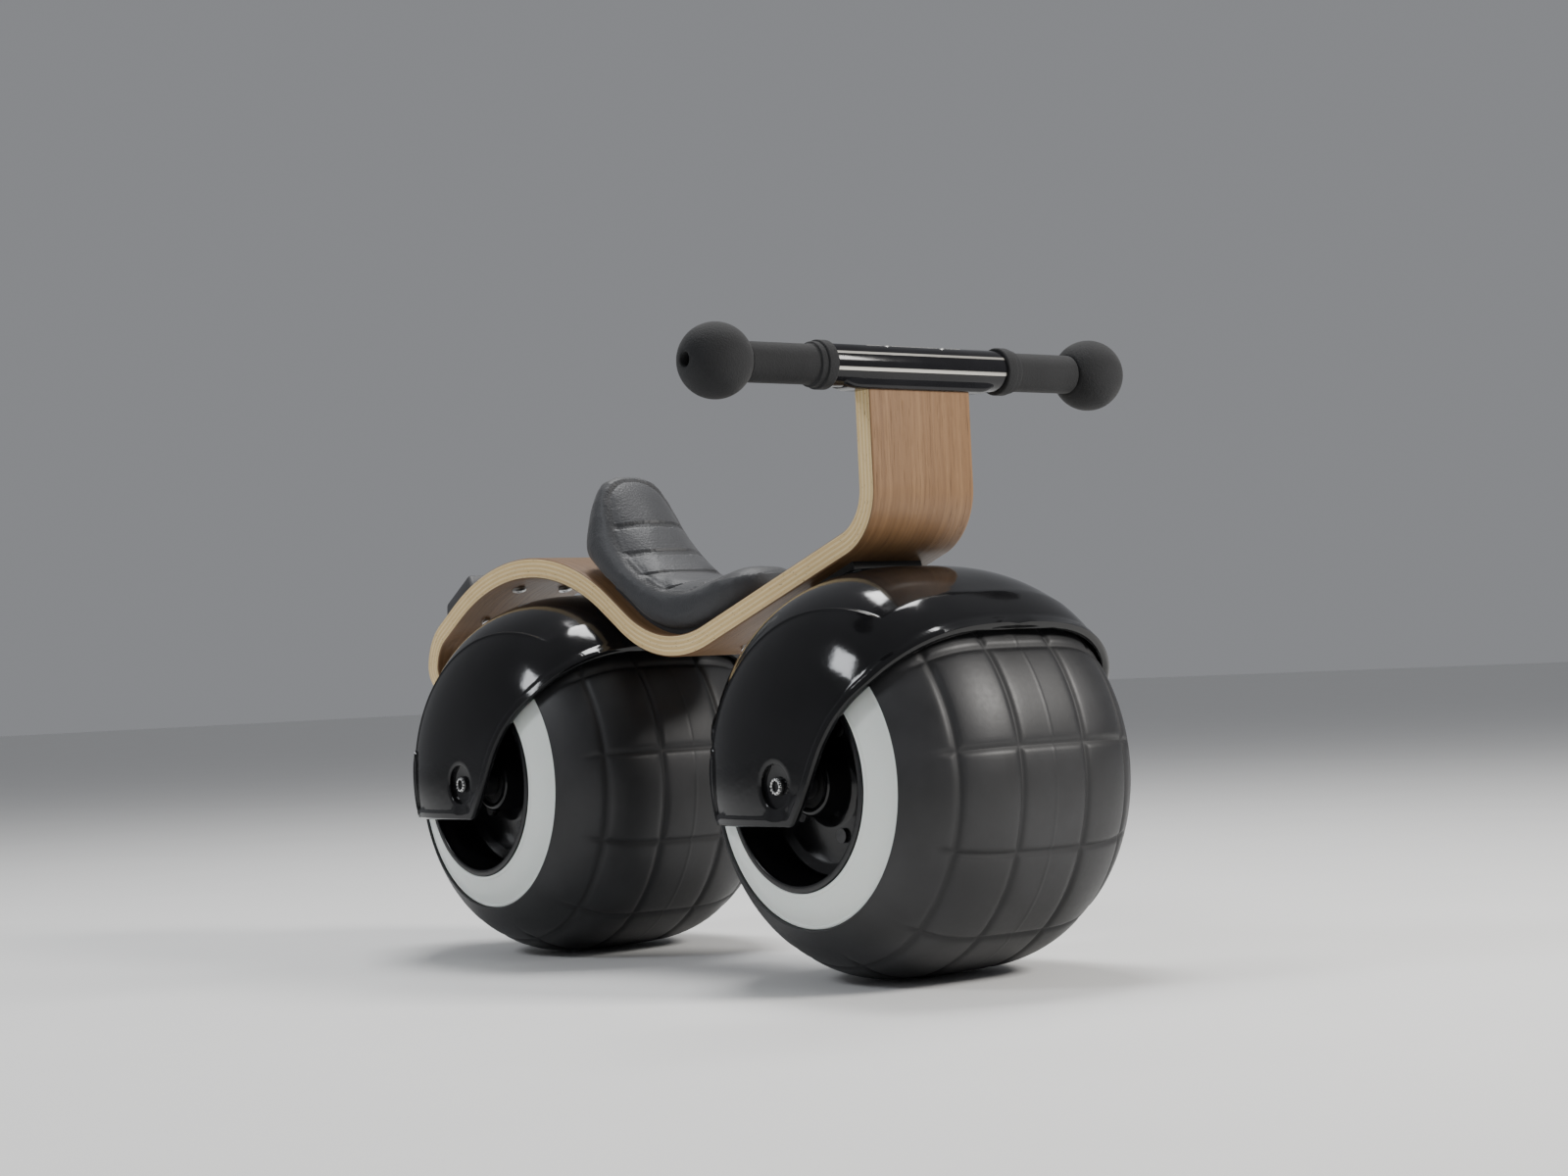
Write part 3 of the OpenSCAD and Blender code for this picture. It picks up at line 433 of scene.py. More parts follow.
def hood_sheet(outer, half, reach, shaped):
    """One side of a barrel sheet in polar steps about the axle, as radius and distance out, where
    radius = outer cos(a)^(2 / n) and out = half sin(a)^(2 / n). The rows run out to reach and crowd
    round the crease and beside the lip. A shaped sheet is moved along its normal by crown_depth."""
    start = np.full(len(reach), boss + 2.0)
    before_crease = np.minimum(crease_at - 1.6, 0.88 * reach)
    past_crease = np.minimum(crease_at + 2.4, 0.94 * reach)
    beside_lip = np.maximum(reach - 7.0, (past_crease + reach) / 2)
    knots = np.minimum([start, before_crease, past_crease, beside_lip, reach], outer)
    knots = np.arccos((knots / outer) ** (hood_full / 2))
    rows_between = [np.linspace(0, 1, n, endpoint=False)[:, None] for n in (29, 13, 23)]
    rows_between.append(np.linspace(0, 1, 12)[:, None])
    angle = np.vstack([low + (high - low) * t for low, high, t in zip(knots, knots[1:], rows_between)])
    radius, out = outer * np.cos(angle) ** (2 / hood_full), half * np.sin(angle) ** (2 / hood_full)
    if shaped:
        slope = np.stack([(radius / outer) ** (hood_full - 1) / outer,
                          (out / half) ** (hood_full - 1) / half])
        slope /= np.hypot(*slope)
        depth = crown_depth(radius, out)
        radius, out = radius - slope[0] * depth, out - slope[1] * depth
    return radius, out


def turned_rows(profile, count):
    """A short (radius, out) profile repeated for every polar step."""
    radius, out = np.array(profile).T[..., None]
    return np.repeat(radius, count, 1), np.repeat(out, count, 1)


steps_round = len(hood_turn)
outer_r, outer_y = hood_sheet(hood_radius, hood_half, hood_reach, True)
inner_reach = np.minimum(hood_reach, hood_radius - hood_wall)
inner_r, inner_y = hood_sheet(hood_radius - hood_wall, hood_half - hood_wall, inner_reach, False)
face_y = float(barrel_out(recess + 0.7, hood_radius, hood_half))
inside_y = float(barrel_out(boss, hood_radius - hood_wall, hood_half - hood_wall))
recess_r, recess_y = turned_rows([
    [bolt_hole, recess_floor], [recess - 1, recess_floor], [recess - 0.2, recess_floor + 0.2],
    [recess, recess_floor + 0.9], [recess, face_y - 0.6], [recess + 0.2, face_y - 0.15],
    [recess + 0.7, face_y], [15.5, float(barrel_out(15.5, hood_radius, hood_half))]], steps_round)
boss_r, boss_y = turned_rows([
    [bolt_hole, recess_floor], [bolt_hole, boss_face], [boss - 0.5, boss_face], [boss, boss_face + 0.5],
    [boss, inside_y - 0.3], [boss + 0.4, inside_y]], steps_round)
# The edge of the wall is a half round from the outer sheet to the inner one
lip_way = np.stack([np.gradient(hood_reach * toward[:, 1]), -np.gradient(hood_reach * toward[:, 0])], 1)
lip_way /= np.linalg.norm(lip_way, axis=1)[:, None] + 1e-9
rim_swell, through_wall = 1.1, np.array([0.15, 0.5, 0.85])[:, None, None]
outer_edge, inner_edge = (np.stack([r[-1] * toward[:, 0], y[-1], r[-1] * toward[:, 1]], -1)
                          for r, y in ((outer_r, outer_y), (inner_r, inner_y)))
swell = np.stack([lip_way[:, 0], 0 * lip_way[:, 0], lip_way[:, 1]], -1)
rim = outer_edge * (1 - through_wall) + inner_edge * through_wall \
    + swell * np.sin(through_wall * math.pi) * rim_swell


def hood_side(side):
    """All of one side's sheets, in mm about the axle, with their faces."""
    outside = np.vstack([recess_r, outer_r]), np.vstack([recess_y, outer_y])
    inside = np.vstack([boss_r, inner_r]), np.vstack([boss_y, inner_y])
    sheets = [np.stack([r * toward[:, 0], side * y, r * toward[:, 1]], -1) for r, y in (outside, inside)]
    points = np.concatenate([part.reshape(-1, 3) for part in (*sheets, rim * [1, side, 1])])
    faces = [grid_faces(len(outside[0]), steps_round, wrap_columns=True),
             grid_faces(len(inside[0]), steps_round, wrap_columns=True, start=sheets[0][..., 0].size)]
    ring = np.arange(steps_round)
    base = sheets[0][..., 0].size + sheets[1][..., 0].size
    lines = [ring + sheets[0][..., 0].size - steps_round, base + ring, base + steps_round + ring,
             base + 2 * steps_round + ring, ring + base - steps_round]
    joined = ~(is_crown & np.roll(is_crown, -1))
    for low, high in zip(lines, lines[1:]):
        faces.append(np.stack([low, np.roll(low, -1), np.roll(high, -1), high], 1)[joined])
    return points, faces


gloss = Finish("hood_gloss_black", {"Roughness": 0.1, "Specular IOR Level": 0.4, "IOR": 1.46})
gloss_place = gloss.place()
haze = gloss.noise(gloss_place, 16.0, 4.0)
swirl = gloss.noise(gloss.stretch(gloss_place, (900.0, 60.0, 240.0)), 1.0, 2.0).step(0.66, 0.8)
gloss.set({"Base Color": gloss.mix(haze.step(0.35, 0.75), (0.0045, 0.0045, 0.005), (0.009, 0.009, 0.010)),
           "Roughness": 0.07 + haze * 0.07 + swirl * 0.06})
gloss.bump(gloss.noise(gloss_place, 260.0, 1.0), 0.00003)

halves = [hood_side(side) for side in (-1, 1)]
hood_points = np.vstack([half[0] for half in halves]) * mm
hood_faces = np.vstack([np.vstack(faces) + k * len(halves[0][0]) for k, (_, faces) in enumerate(halves)])
for end, axle_x in ends:
    add_piece(f"{end}_hood_shell", hood_points + [axle_x, 0, axle_z], hood_faces, gloss, "frame",
              [f"{end}_hood"], sharp=50)

# ---- Packing under the spine, and its screws ---------------------------------------------------
# A rubber packing block fills the space between each domed hood and the strip where it comes closest.
# Four flush zinc-plated screws go down through strip, packing and hood. Two pan heads sit in the
# hump's underside. All have crossed recesses.


def mottled(name, sockets, per_metre, detail, dark, light, smoothest, rougher):
    """A finish whose colour goes from dark to light, and whose roughness from smoothest by rougher,
    with one soft noise. Gives the finish and the noise."""
    finish = Finish(name, sockets)
    noise = finish.noise(finish.place(), per_metre, detail)
    finish.set({"Base Color": finish.mix(noise, dark, light), "Roughness": smoothest + noise * rougher})
    return finish, noise


rubber, _ = mottled("packing_rubber", {"Roughness": 0.7, "Specular IOR Level": 0.35}, 70.0, 4.0,
                    (0.018, 0.018, 0.019), (0.038, 0.037, 0.036), 0.6, 0.2)
rubber.bump(rubber.noise(rubber.place(), 1500.0, 2.0), 0.00008)
zinc, spangle = mottled("zinc_plate", {"Metallic": 1.0, "Roughness": 0.3}, 420.0, 3.0,
                        (0.46, 0.47, 0.48), (0.66, 0.66, 0.64), 0.22, 0.22)
zinc.bump(spangle, 0.00002)


def finish_nodes(names, finish):
    """Gives CAD nodes whose shape is right their finish."""
    for name in names:
        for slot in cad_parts[name].material_slots:
            slot.material = finish.material


finish_nodes(["front_packing", "rear_packing"], rubber)
finish_nodes(["saddle_tee_nuts", "saddle_screws", "tail_block_screws", "bar_cross_nuts", "bar_screws"], zinc)

head_radius, shank_radius, screw_turn = 4.6, 2.5, np.linspace(0, 2 * math.pi, 65)[:-1]
cross_half, cross_reach, cross_deep = 0.62, 2.4, 1.3
hood_screw_x, hood_screw_y, hump_screw_x = 14.0, 18.0, -55.0


def screw_shape(dome, rim, shank):
    """A round head about the local zero, dome high in the middle and rim high at its edge, with a
    crossed recess where |x| or |y| is under cross_half, and its shank below."""
    r = np.linspace(0, 1, 22)[:, None] * head_radius
    x, y = r * np.cos(screw_turn), r * np.sin(screw_turn)
    in_cross = np.clip((cross_half - np.minimum(np.abs(x), np.abs(y))) / 0.2, 0, 1)
    in_cross = in_cross * np.clip((cross_reach - r) / 0.35, 0, 1)
    z = rim + (dome - rim) * np.sqrt(1 - 0.97 * (r / head_radius) ** 2) - cross_deep * in_cross
    below_r, below_z = np.array([[head_radius, -0.2], [shank_radius, -2.2], [shank_radius, -shank],
                                 [0, -shank]]).T[..., None]
    below = [below_r * np.cos(screw_turn), below_r * np.sin(screw_turn), below_z + 0 * screw_turn]
    return np.concatenate([np.stack([x, y, z], -1), np.stack(below, -1)])


def put_screws(name, shape, spots, nodes):
    """Copies of a screw at ((x, z), sideways, upward) spots in side view, as one piece."""
    placed = [np.stack([rear_axle_x / mm + at[0] + shape[..., 0] * up[1] + shape[..., 2] * up[0],
                        across_at + shape[..., 1],
                        at[1] - shape[..., 0] * up[0] + shape[..., 2] * up[1]], -1)
              for at, across_at, up in spots]
    faces = grid_faces(*shape.shape[:2], wrap_columns=True)
    every = np.vstack([faces + k * shape[..., 0].size for k in range(len(placed))])
    add_piece(name, np.concatenate(placed) * mm, every, zinc, "frame", nodes, sharp=30)


# The hood screws stand where the straight parts of the strip pass closest to the axles
flush, pan = screw_shape(0.45, 0.12, 26.0), screw_shape(2.2, 0.9, 6.0)
for end, slope, on_slope, axle in (("front", rise_slope, rise_foot, front_axle),
                                   ("rear", fall_slope, hump_corner, rear_axle)):
    way, up = heading_of(slope), heading_of(slope + 90)
    foot = on_slope + way * ((axle - on_slope) @ way)
    spots = [(foot + way * go + up * ply_half_thick, y, up)
             for go in (-hood_screw_x, hood_screw_x) for y in (-hood_screw_y, hood_screw_y)]
    put_screws(f"{end}_hood_screw_set", flush, spots, [f"{end}_hood_screws"])
hump_centre = hump_corner - [0, hump_radius / math.cos(half_hump)]
lean = math.asin((hump_screw_x - hump_centre[0]) / hump_radius)
down = -np.array([math.sin(lean), math.cos(lean)])
hump_spot = hump_centre - down * (hump_radius - ply_half_thick)
put_screws("hump_screw_pair", pan, [(hump_spot, y, down) for y in (-hood_screw_y, hood_screw_y)],
           ["hump_screws"])

# ---- Tyres -------------------------------------------------------------------------------------
# Balloon tyres in satin black rubber, nearly as wide as they are high. Soft shallow lines moulded
# round and across them leave pillowed blocks, and a fine mould seam runs round the middle.

tyre_radius, tyre_half, tyre_full, tyre_flat, shoulder_radius = 110.0, 96.5, 2.75, 12.0, 78.7
shoulder_share = (1 - (shoulder_radius / tyre_radius) ** tyre_full) ** (1 / tyre_full)
shoulder = tyre_flat + (tyre_half - tyre_flat) * shoulder_share
groove_lines, groove_depth, groove_width, cross_lines = np.array([23.0, 59.7]), 1.25, 1.9, 12


def dense_near(low, high, spots, coarse, fine, spread):
    """Places from low to high, coarse apart, and fine apart within spread of each spot."""
    marks = np.linspace(low, high, int((high - low) / 0.02))
    near = np.min(np.abs(marks[:, None] - np.asarray(spots)[None]), 1)
    density = 1 / coarse + (1 / fine - 1 / coarse) * np.exp(-(near / spread) ** 2)
    total = np.concatenate([[0], np.cumsum((density[1:] + density[:-1]) / 2 * np.diff(marks))])
    return np.interp(np.linspace(0, total[-1], int(total[-1]) + 1), total, marks)


def about_axle(points, axle_x):
    """(x, y, z) in mm about an axle, put in place in metres."""
    return points.reshape(-1, 3) * mm + [axle_x, 0, axle_z]


def ring_rows(profile, turns):
    """A (radius, distance) profile turned about the axle: x = r cos t, z = r sin t."""
    radius, out = profile[:, :1], profile[:, 1:]
    return np.stack([radius * np.cos(turns), np.broadcast_to(out, (len(profile), len(turns))),
                     radius * np.sin(turns)], -1)


tread_y = dense_near(-shoulder, shoulder, [-59.7, -23, 0, 23, 59.7], 3.4, 0.75, 3.6)
line_turns = np.arange(cross_lines + 1) * 2 * math.pi / cross_lines + math.radians(9)
tread_turn = dense_near(line_turns[0] - math.pi / 12, line_turns[-1] - math.pi / 12, line_turns,
                        math.radians(2.4), math.radians(0.42), math.radians(2.2))[:-1]
tread_r = tyre_radius * (1 - (np.maximum(np.abs(tread_y) - tyre_flat, 0)
                              / (tyre_half - tyre_flat)) ** tyre_full) ** (1 / tyre_full)
to_line = np.min(np.abs(np.abs(tread_y)[:, None] - groove_lines[None]), 1)
to_cross = np.min(np.abs(tread_turn[:, None] - line_turns[None]), 1) * tyre_radius
cross_fade = 1 / (1 + np.exp((np.abs(tread_y) - 66) / 1.6))
round_cut = np.exp(-(to_line / groove_width) ** 2) * groove_depth
cross_cut = np.exp(-(to_cross / groove_width) ** 2)[None] * (groove_depth * cross_fade[:, None])
pillow = 0.5 * (np.exp(-to_line / 7)[:, None] + np.exp(-to_cross / 7)[None] * cross_fade[:, None])
seam = -0.22 * np.exp(-(tread_y / 0.55) ** 2)
sunk = np.maximum(round_cut[:, None], cross_cut) + pillow + seam[:, None]
slant = np.gradient(tread_r, tread_y)
normal_r, normal_y = 1 / np.hypot(1, slant), -slant / np.hypot(1, slant)
skin_r = tread_r[:, None] - sunk * normal_r[:, None]
skin_y = tread_y[:, None] - sunk * normal_y[:, None]
skin = np.stack([skin_r * np.cos(tread_turn), skin_y, skin_r * np.sin(tread_turn)], -1)
bead_profile = rounded_path(np.array([
    [shoulder_radius, shoulder], [77.8, shoulder], [77.8, 80.1], [57.9, 85.4], [57.6, 66.0],
    [62.0, 62.0], [62.0, 0.0]]), [0.4, 0.2, 0.3, 2, 2], 5)
side_rows = ring_rows(bead_profile, tread_turn)
other_rows = side_rows[::-1] * [1, -1, 1]
tyre_points = np.vstack([skin, side_rows, other_rows])
tyre_mark = np.full(tyre_points.shape, 0.5)
tyre_mark[:len(skin)] = sunk[..., None]

tread = Finish("tyre_rubber", {"Specular IOR Level": 0.5})
tread_place = tread.place()
sink = tread.axes(tread.marked("sunk"))[0]
in_groove = sink.step(0.5, 1.5)
dust = tread.noise(tread_place, 26.0, 5.0)
scuff = tread.noise(tread_place, 330.0, 4.0)
rubber_face = tread.mix(dust.step(0.3, 0.75), (0.009, 0.0092, 0.010), (0.021, 0.021, 0.023))
tread.set({"Base Color": tread.mix(in_groove * 0.5, rubber_face, (0.012, 0.012, 0.013)),
           "Roughness": 0.36 + dust * 0.14 + scuff * 0.1 + in_groove * 0.14})
tread.bump(scuff * 0.6 + tread.noise(tread_place, 1900.0, 2.0) * 0.4, 0.00007)
for end, axle_x in ends:
    add_piece(f"{end}_tyre_skin", about_axle(tyre_points, axle_x),
              grid_faces(len(tyre_points), len(tread_turn), wrap_rows=True, wrap_columns=True), tread,
              f"{end}_wheel", [f"{end}_tyre"], attribute=("sunk", tyre_mark))

# ---- Side rings --------------------------------------------------------------------------------
# A pale satin ring is snapped into each tyre's side, gently domed, with a fine moulded bead at both
# edges. It is left plain. A hair of dark gap shows between it and the rubber.

pale = Finish("ring_pale_satin", {"IOR": 1.46, "Subsurface Weight": 0.05, "Subsurface Scale": 0.002})
pale_place = pale.place()
mottle = pale.noise(pale_place, 34.0, 4.0)
grime = pale.noise(pale_place, 150.0, 4.0).step(0.62, 0.8)
pale.set({"Base Color": pale.mix(grime * 0.10, pale.mix(mottle, (0.74, 0.79, 0.755), (0.80, 0.84, 0.81)),
                                 (0.52, 0.53, 0.48)),
          "Roughness": 0.34 + mottle * 0.14})
pale.bump(pale.noise(pale_place, 700.0, 2.0), 0.00003)
ring_turn = np.linspace(0, 2 * math.pi, 193)[:-1]
ring_face = rounded_path(np.array([
    [77.2, 79.4], [77.7, 80.5], [77.2, 80.95], [75.9, 81.35], [75.6, 81.25], [68.4, 85.3], [60.4, 87.9],
    [60.0, 88.3], [58.6, 88.7], [57.9, 88.4], [57.9, 85.5], [77.2, 79.4]]),
    [0.3, 0.4, 0.5, 0.4, 40, 0.4, 0.5, 0.5, 0.4, 0.3], 6)[:-1]


def on_wheel_sides(profile, kind, finish, part):
    """A closed (radius, distance) profile turned into a piece on both sides of both wheels."""
    for end, axle_x in ends:
        for side, sign in sides:
            rows = ring_rows(profile, ring_turn) * [1, sign, 1]
            add_piece(f"{end}_{side}_{kind}", about_axle(rows, axle_x),
                      grid_faces(*rows.shape[:2], wrap_rows=True, wrap_columns=True), finish,
                      f"{end}_wheel", [f"{end}_{part}_{side}"])


on_wheel_sides(ring_face, "side_ring", pale, "ring")

# ---- Hubs --------------------------------------------------------------------------------------
# Each wheel has two moulded half hubs in gloss black: a drum that carries the bead, a deep dish
# with a rolled lip at the ring, and a boss round the bearing. Five long screws hold them together.

hub_paint, _ = mottled("hub_gloss_black", {"Coat Weight": 0.1, "Coat Roughness": 0.1, "IOR": 1.42},
                       40.0, 4.0, (0.004, 0.004, 0.0045), (0.009, 0.009, 0.010), 0.12, 0.12)
hub_paint.bump(hub_paint.noise(hub_paint.place(), 420.0, 2.0), 0.00004)
dish = 63.54
hub_profile = rounded_path(np.array([
    [54.0, dish - 3.5], [54.0, 0.1], [57.5, 0.1], [57.5, 89.3], [53.8, 89.3], [53.8, 86.5], [52.6, 82.0],
    [50.5, dish + 2.0], [44.0, dish], [24.0, dish], [20.5, dish + 2.0], [17.0, 79.5], [13.05, 79.5],
    [13.05, 70.5], [10.0, 70.5], [10.0, 54.0], [17.0, 54.0], [17.0, dish - 3.5], [54.0, dish - 3.5]]),
    [0.3, 0.3, 0.3, 0.7, 1.1, 1.0, 1.5, 6, 4, 6, 2.5, 1.2, 0.4, 0.2, 0.3, 0.5, 0.5, 0.5, 0.5], 6)[:-1]
on_wheel_sides(hub_profile, "half_hub", hub_paint, "hub")

dark_zinc, _ = mottled("dark_screw_steel", {"Metallic": 1.0, "Roughness": 0.4}, 300.0, 3.0,
                       (0.07, 0.07, 0.075), (0.14, 0.14, 0.14), 0.3, 0.25)
brass, _ = mottled("valve_brass", {"Metallic": 1.0, "Roughness": 0.3}, 500.0, 3.0,
                   (0.55, 0.40, 0.17), (0.72, 0.56, 0.27), 0.24, 0.25)
finish_nodes(["front_hub_screws", "rear_hub_screws"], dark_zinc)
finish_nodes(["front_valve", "rear_valve"], brass)

# ---- Axles and bearings ------------------------------------------------------------------------
# A 10 mm steel axle runs from leg to leg through two sealed ball bearings, with a spacer each side
# and a sleeve between the bearings. A dark button with a toothed ring closes each end; only the tips of its
# teeth are coloured bright steel, as painted glints, and the valleys between them keep the button's dark
# colour.

steel = Finish("turned_steel", {"Metallic": 1.0, "Roughness": 0.25})
steel_place = steel.place()
turning = steel.noise(steel.stretch(steel_place, (60.0, 2600.0, 60.0)), 1.0, 2.0)
steel.set({"Base Color": steel.mix(turning, (0.50, 0.50, 0.50), (0.68, 0.68, 0.67)),
           "Roughness": 0.2 + turning * 0.2})
steel.bump(turning, 0.00002)
finish_nodes(["front_axle", "rear_axle"], steel)
finish_nodes([f"{end}_{part}" for end in ("front", "rear") for part in (
    "axle_spacers", "bearing_sleeve", "bearing_right", "bearing_left")], dark_zinc)

bright = Finish("bolt_steel_painted_glints", {"Metallic": 1.0, "Roughness": 0.2})
bright_place = bright.place()
brushed = bright.noise(bright_place, 900.0, 3.0)
off_axle, on_tooth, _ = bright.axes(bright.marked("radius"))
# Bright steel only where the tooth profile is high: painted glints on the tooth tips, while the rest keeps
# the button's own dark colour.
tooth_tip_glint = off_axle.step(2.8, 3.05) * (1.0 - off_axle.step(4.45, 4.6)) * on_tooth.step(0.12, 0.5)
bright.set({"Base Color": bright.mix(tooth_tip_glint, (0.02, 0.02, 0.021), bright.mix(
                brushed, (0.62, 0.62, 0.62), (0.82, 0.82, 0.80))),
            "Metallic": 0.3 + tooth_tip_glint * 0.7, "Roughness": 0.2 + brushed * 0.2})
bolt_turn = np.linspace(0, 2 * math.pi, 193)[:-1]
teeth = (0.5 + 0.5 * np.cos(12 * bolt_turn)) ** 0.6
tooth_tip = 3.75 + 0.7 * teeth
plain = np.ones(len(bolt_turn))
bolt_rows = [(3.0 * plain, 78.0), (3.0 * plain, 99.0), (5.0 * plain, 99.05), (5.0 * plain, 100.4),
             (4.75 * plain, 100.7), (tooth_tip + 0.05, 100.75), (tooth_tip - 0.05, 101.5),
             (3.5 * plain, 101.75), (3.1 * plain, 101.6), (2.9 * plain, 101.2), (2.7 * plain, 100.1),
             (0.0 * plain, 100.0)]
bolt = np.stack([np.stack([r * np.cos(bolt_turn), y * plain, r * np.sin(bolt_turn)], -1)
                 for r, y in bolt_rows])
bolt_radius = np.stack([np.stack([r, teeth, plain], -1) for r, _ in bolt_rows])
bolt_faces = [*grid_faces(len(bolt), len(bolt_turn), wrap_columns=True), np.arange(len(bolt_turn))]
for end, axle_x in ends:
    pair = np.vstack([(bolt * [1, sign, 1]).reshape(-1, 3) for sign in (-1, 1)])
    add_piece(f"{end}_axle_buttons", about_axle(pair, axle_x),
              bolt_faces + [face + bolt[..., 0].size for face in bolt_faces], bright, "frame",
              [f"{end}_axle_bolts"], sharp=30, attribute=("radius", np.vstack([bolt_radius, bolt_radius])))

# ---- Handlebar sleeve --------------------------------------------------------------------------
# A gloss black sleeve round the middle of the steel tube, with a jaw below it that grips the end of
# the spine. Fine silver lines run along it. Two screws go down through it into nuts in the spine.

head_x = rear_axle_x + head_place[0] * mm
sleeve_bore, sleeve_radius, sleeve_half = 8.1, 11.8, 61.0
bar_z = sum(corner[2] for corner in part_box("handlebar_tube")) / 2
lacquer = Finish("bar_gloss_black", {"Specular IOR Level": 0.3, "IOR": 1.46})
bar_x, bar_y, bar_up = lacquer.axes(lacquer.place())
round_bar = (bar_up - bar_z).angle_to(bar_x - head_x)


def pinstripe(degrees, width, reach):
    """1 on a line along the sleeve at the given turn about it, width mm wide, out to reach mm."""
    off = abs(round_bar - math.radians(degrees)) * (sleeve_radius * mm)
    return (1.0 - off.step((width / 2 - 0.15) * mm, (width / 2 + 0.15) * mm)) \
        * (1.0 - abs(bar_y).step((reach - 0.3) * mm, (reach + 0.3) * mm))


stripes = pinstripe(31.7, 1.5, sleeve_half) + pinstripe(-13.7, 1.9, sleeve_half) + pinstripe(76, 1.5, 34)
stripes = stripes * (bar_up - bar_z).step(-6.0 * mm, -5.4 * mm)
sleeve_haze = lacquer.noise(lacquer.place(), 60.0, 4.0)
lacquer.set({"Base Color": lacquer.mix(stripes, lacquer.mix(sleeve_haze, (0.006, 0.006, 0.007),
                                                           (0.013, 0.013, 0.015)), (0.62, 0.60, 0.55)),
             "Metallic": stripes * 0.85, "Roughness": 0.08 + sleeve_haze * 0.08 + stripes * 0.2})
lacquer.bump(stripes * 0.3 + sleeve_haze * 0.05, 0.00004)


def tube_rows(profile, turns):
    """A (radius, distance) profile turned about the handlebar's centre line."""
    rows = ring_rows(profile, turns) * mm
    return rows + [head_x, 0, bar_z]


sleeve_turn = np.linspace(0, 2 * math.pi, 129)[:-1]
sleeve_profile = rounded_path(np.array([
    [sleeve_bore, -sleeve_half], [sleeve_radius, -sleeve_half], [sleeve_radius, sleeve_half],
    [sleeve_bore, sleeve_half], [sleeve_bore, -sleeve_half]]), [0.8, 0.8, 0.2], 6)[:-1]
sleeve = tube_rows(sleeve_profile, sleeve_turn)
# The jaw: rounded sections along the bar, which shrink at the ends and curve up into the sleeve
jaw_reach, jaw_level, jaw_half_thick, jaw_drop, jaw_lift = 56.5, 44.0, 9.0, 13.3, 4.6
jaw_at = np.sin(np.linspace(-math.pi / 2, math.pi / 2, 81)) * jaw_reach
jaw_turn = np.linspace(0, 2 * math.pi, 49)[:-1]
jaw_out = np.clip((np.abs(jaw_at) - jaw_level) / (jaw_reach - jaw_level), 0, 1)
jaw_end = (1 - np.abs(jaw_at / jaw_reach) ** 40) ** 0.5
jaw_low, jaw_high = jaw_lift * jaw_out ** 2 - jaw_drop, -1.0
boxy_cos, boxy_sin = (np.sign(wave) * np.abs(wave) ** 0.36 for wave in (np.cos(jaw_turn), np.sin(jaw_turn)))
jaw_x = boxy_cos * (jaw_half_thick - 0.8 * jaw_out[:, None] ** 2)
jaw_z = boxy_sin * (jaw_high - jaw_low)[:, None] / 2
jaw = np.stack([jaw_x * jaw_end[:, None], np.broadcast_to(jaw_at[:, None], jaw_x.shape),
                (jaw_high + jaw_low)[:, None] / 2 + jaw_z * jaw_end[:, None]], -1)
jaw_faces = grid_faces(*jaw.shape[:2], wrap_columns=True)
jaw = jaw.reshape(-1, 3) * mm + [head_x, 0, bar_z]
sleeve_faces = grid_faces(*sleeve.shape[:2], wrap_rows=True, wrap_columns=True)
add_piece("bar_sleeve_and_jaw", np.vstack([sleeve.reshape(-1, 3), jaw]),
          [*sleeve_faces, *[face + sleeve[..., 0].size for face in jaw_faces]], lacquer, "frame",
          ["bar_sleeve"])
finish_nodes(["handlebar_tube"], steel)

# ---- Grips and balls ---------------------------------------------------------------------------
# Closed-cell foam pushed over the tube: a plain grip with a stepped collar at its inner end, and a
# ball on each end of the bar with a round hole, where a plug closes the tube.

foam = Finish("closed_cell_foam", {"Specular IOR Level": 0.22, "Sheen Weight": 0.06, "Sheen Roughness": 0.5})
foam_place = foam.place()
cells = foam.cells(foam_place, 1150.0, "F1")
pits = foam.noise(foam_place, 620.0, 4.0)
shade = foam.noise(foam_place, 45.0, 3.0)
foam.set({"Base Color": foam.mix(shade * 0.6 + pits * 0.4, (0.010, 0.0103, 0.011), (0.030, 0.0305, 0.032)),
          "Roughness": 0.78 + pits * 0.15})
foam.bump(cells * 0.5 + pits * 0.7, 0.00028)
grip_profile = rounded_path(np.array([
    [8.05, 61.3], [13.5, 61.3], [13.5, 68.1], [12.4, 68.6], [12.4, 72.0], [11.0, 72.9], [11.0, 117.6],
    [8.05, 117.6], [8.05, 61.3]]), [1.2, 0.9, 0.4, 0.9, 1.4, 0.6, 0.2], 7)[:-1]
ball_y, ball_radius, hole = 135.1, 20.4, 4.0
grip_end = ball_y - math.sqrt(ball_radius ** 2 - 11.0 ** 2)
ball_turn = np.linspace(math.acos((grip_end - ball_y) / ball_radius),
                        math.asin((hole + 0.7) / ball_radius), 60)
ball_arc = np.stack([ball_radius * np.sin(ball_turn), ball_y + ball_radius * np.cos(ball_turn)], 1)
ball_profile = np.vstack([[[8.05, grip_end + 0.2], [10.4, grip_end + 0.05]], ball_arc[1:],
                          [[hole + 0.25, 154.85], [hole, 154.4], [hole, 147.6], [8.05, 147.6]]])
for side, sign in sides:
    for part, profile in (("grip", grip_profile), ("ball", ball_profile)):
        rows = tube_rows(profile * [1, sign], sleeve_turn)
        add_piece(f"{side}_foam_{part}", rows.reshape(-1, 3),
                  grid_faces(*rows.shape[:2], wrap_rows=True, wrap_columns=True), foam, "frame",
                  [f"{part}_{side}"], sharp=50)

plastic, _ = mottled("grained_black_plastic", {"Specular IOR Level": 0.45}, 60.0, 3.0,
                     (0.016, 0.016, 0.017), (0.034, 0.034, 0.036), 0.5, 0.16)
plastic.bump(plastic.cells(plastic.place(), 900.0, "SMOOTH_F1"), 0.00016)
finish_nodes(["saddle_base", "bar_plugs"], plastic)

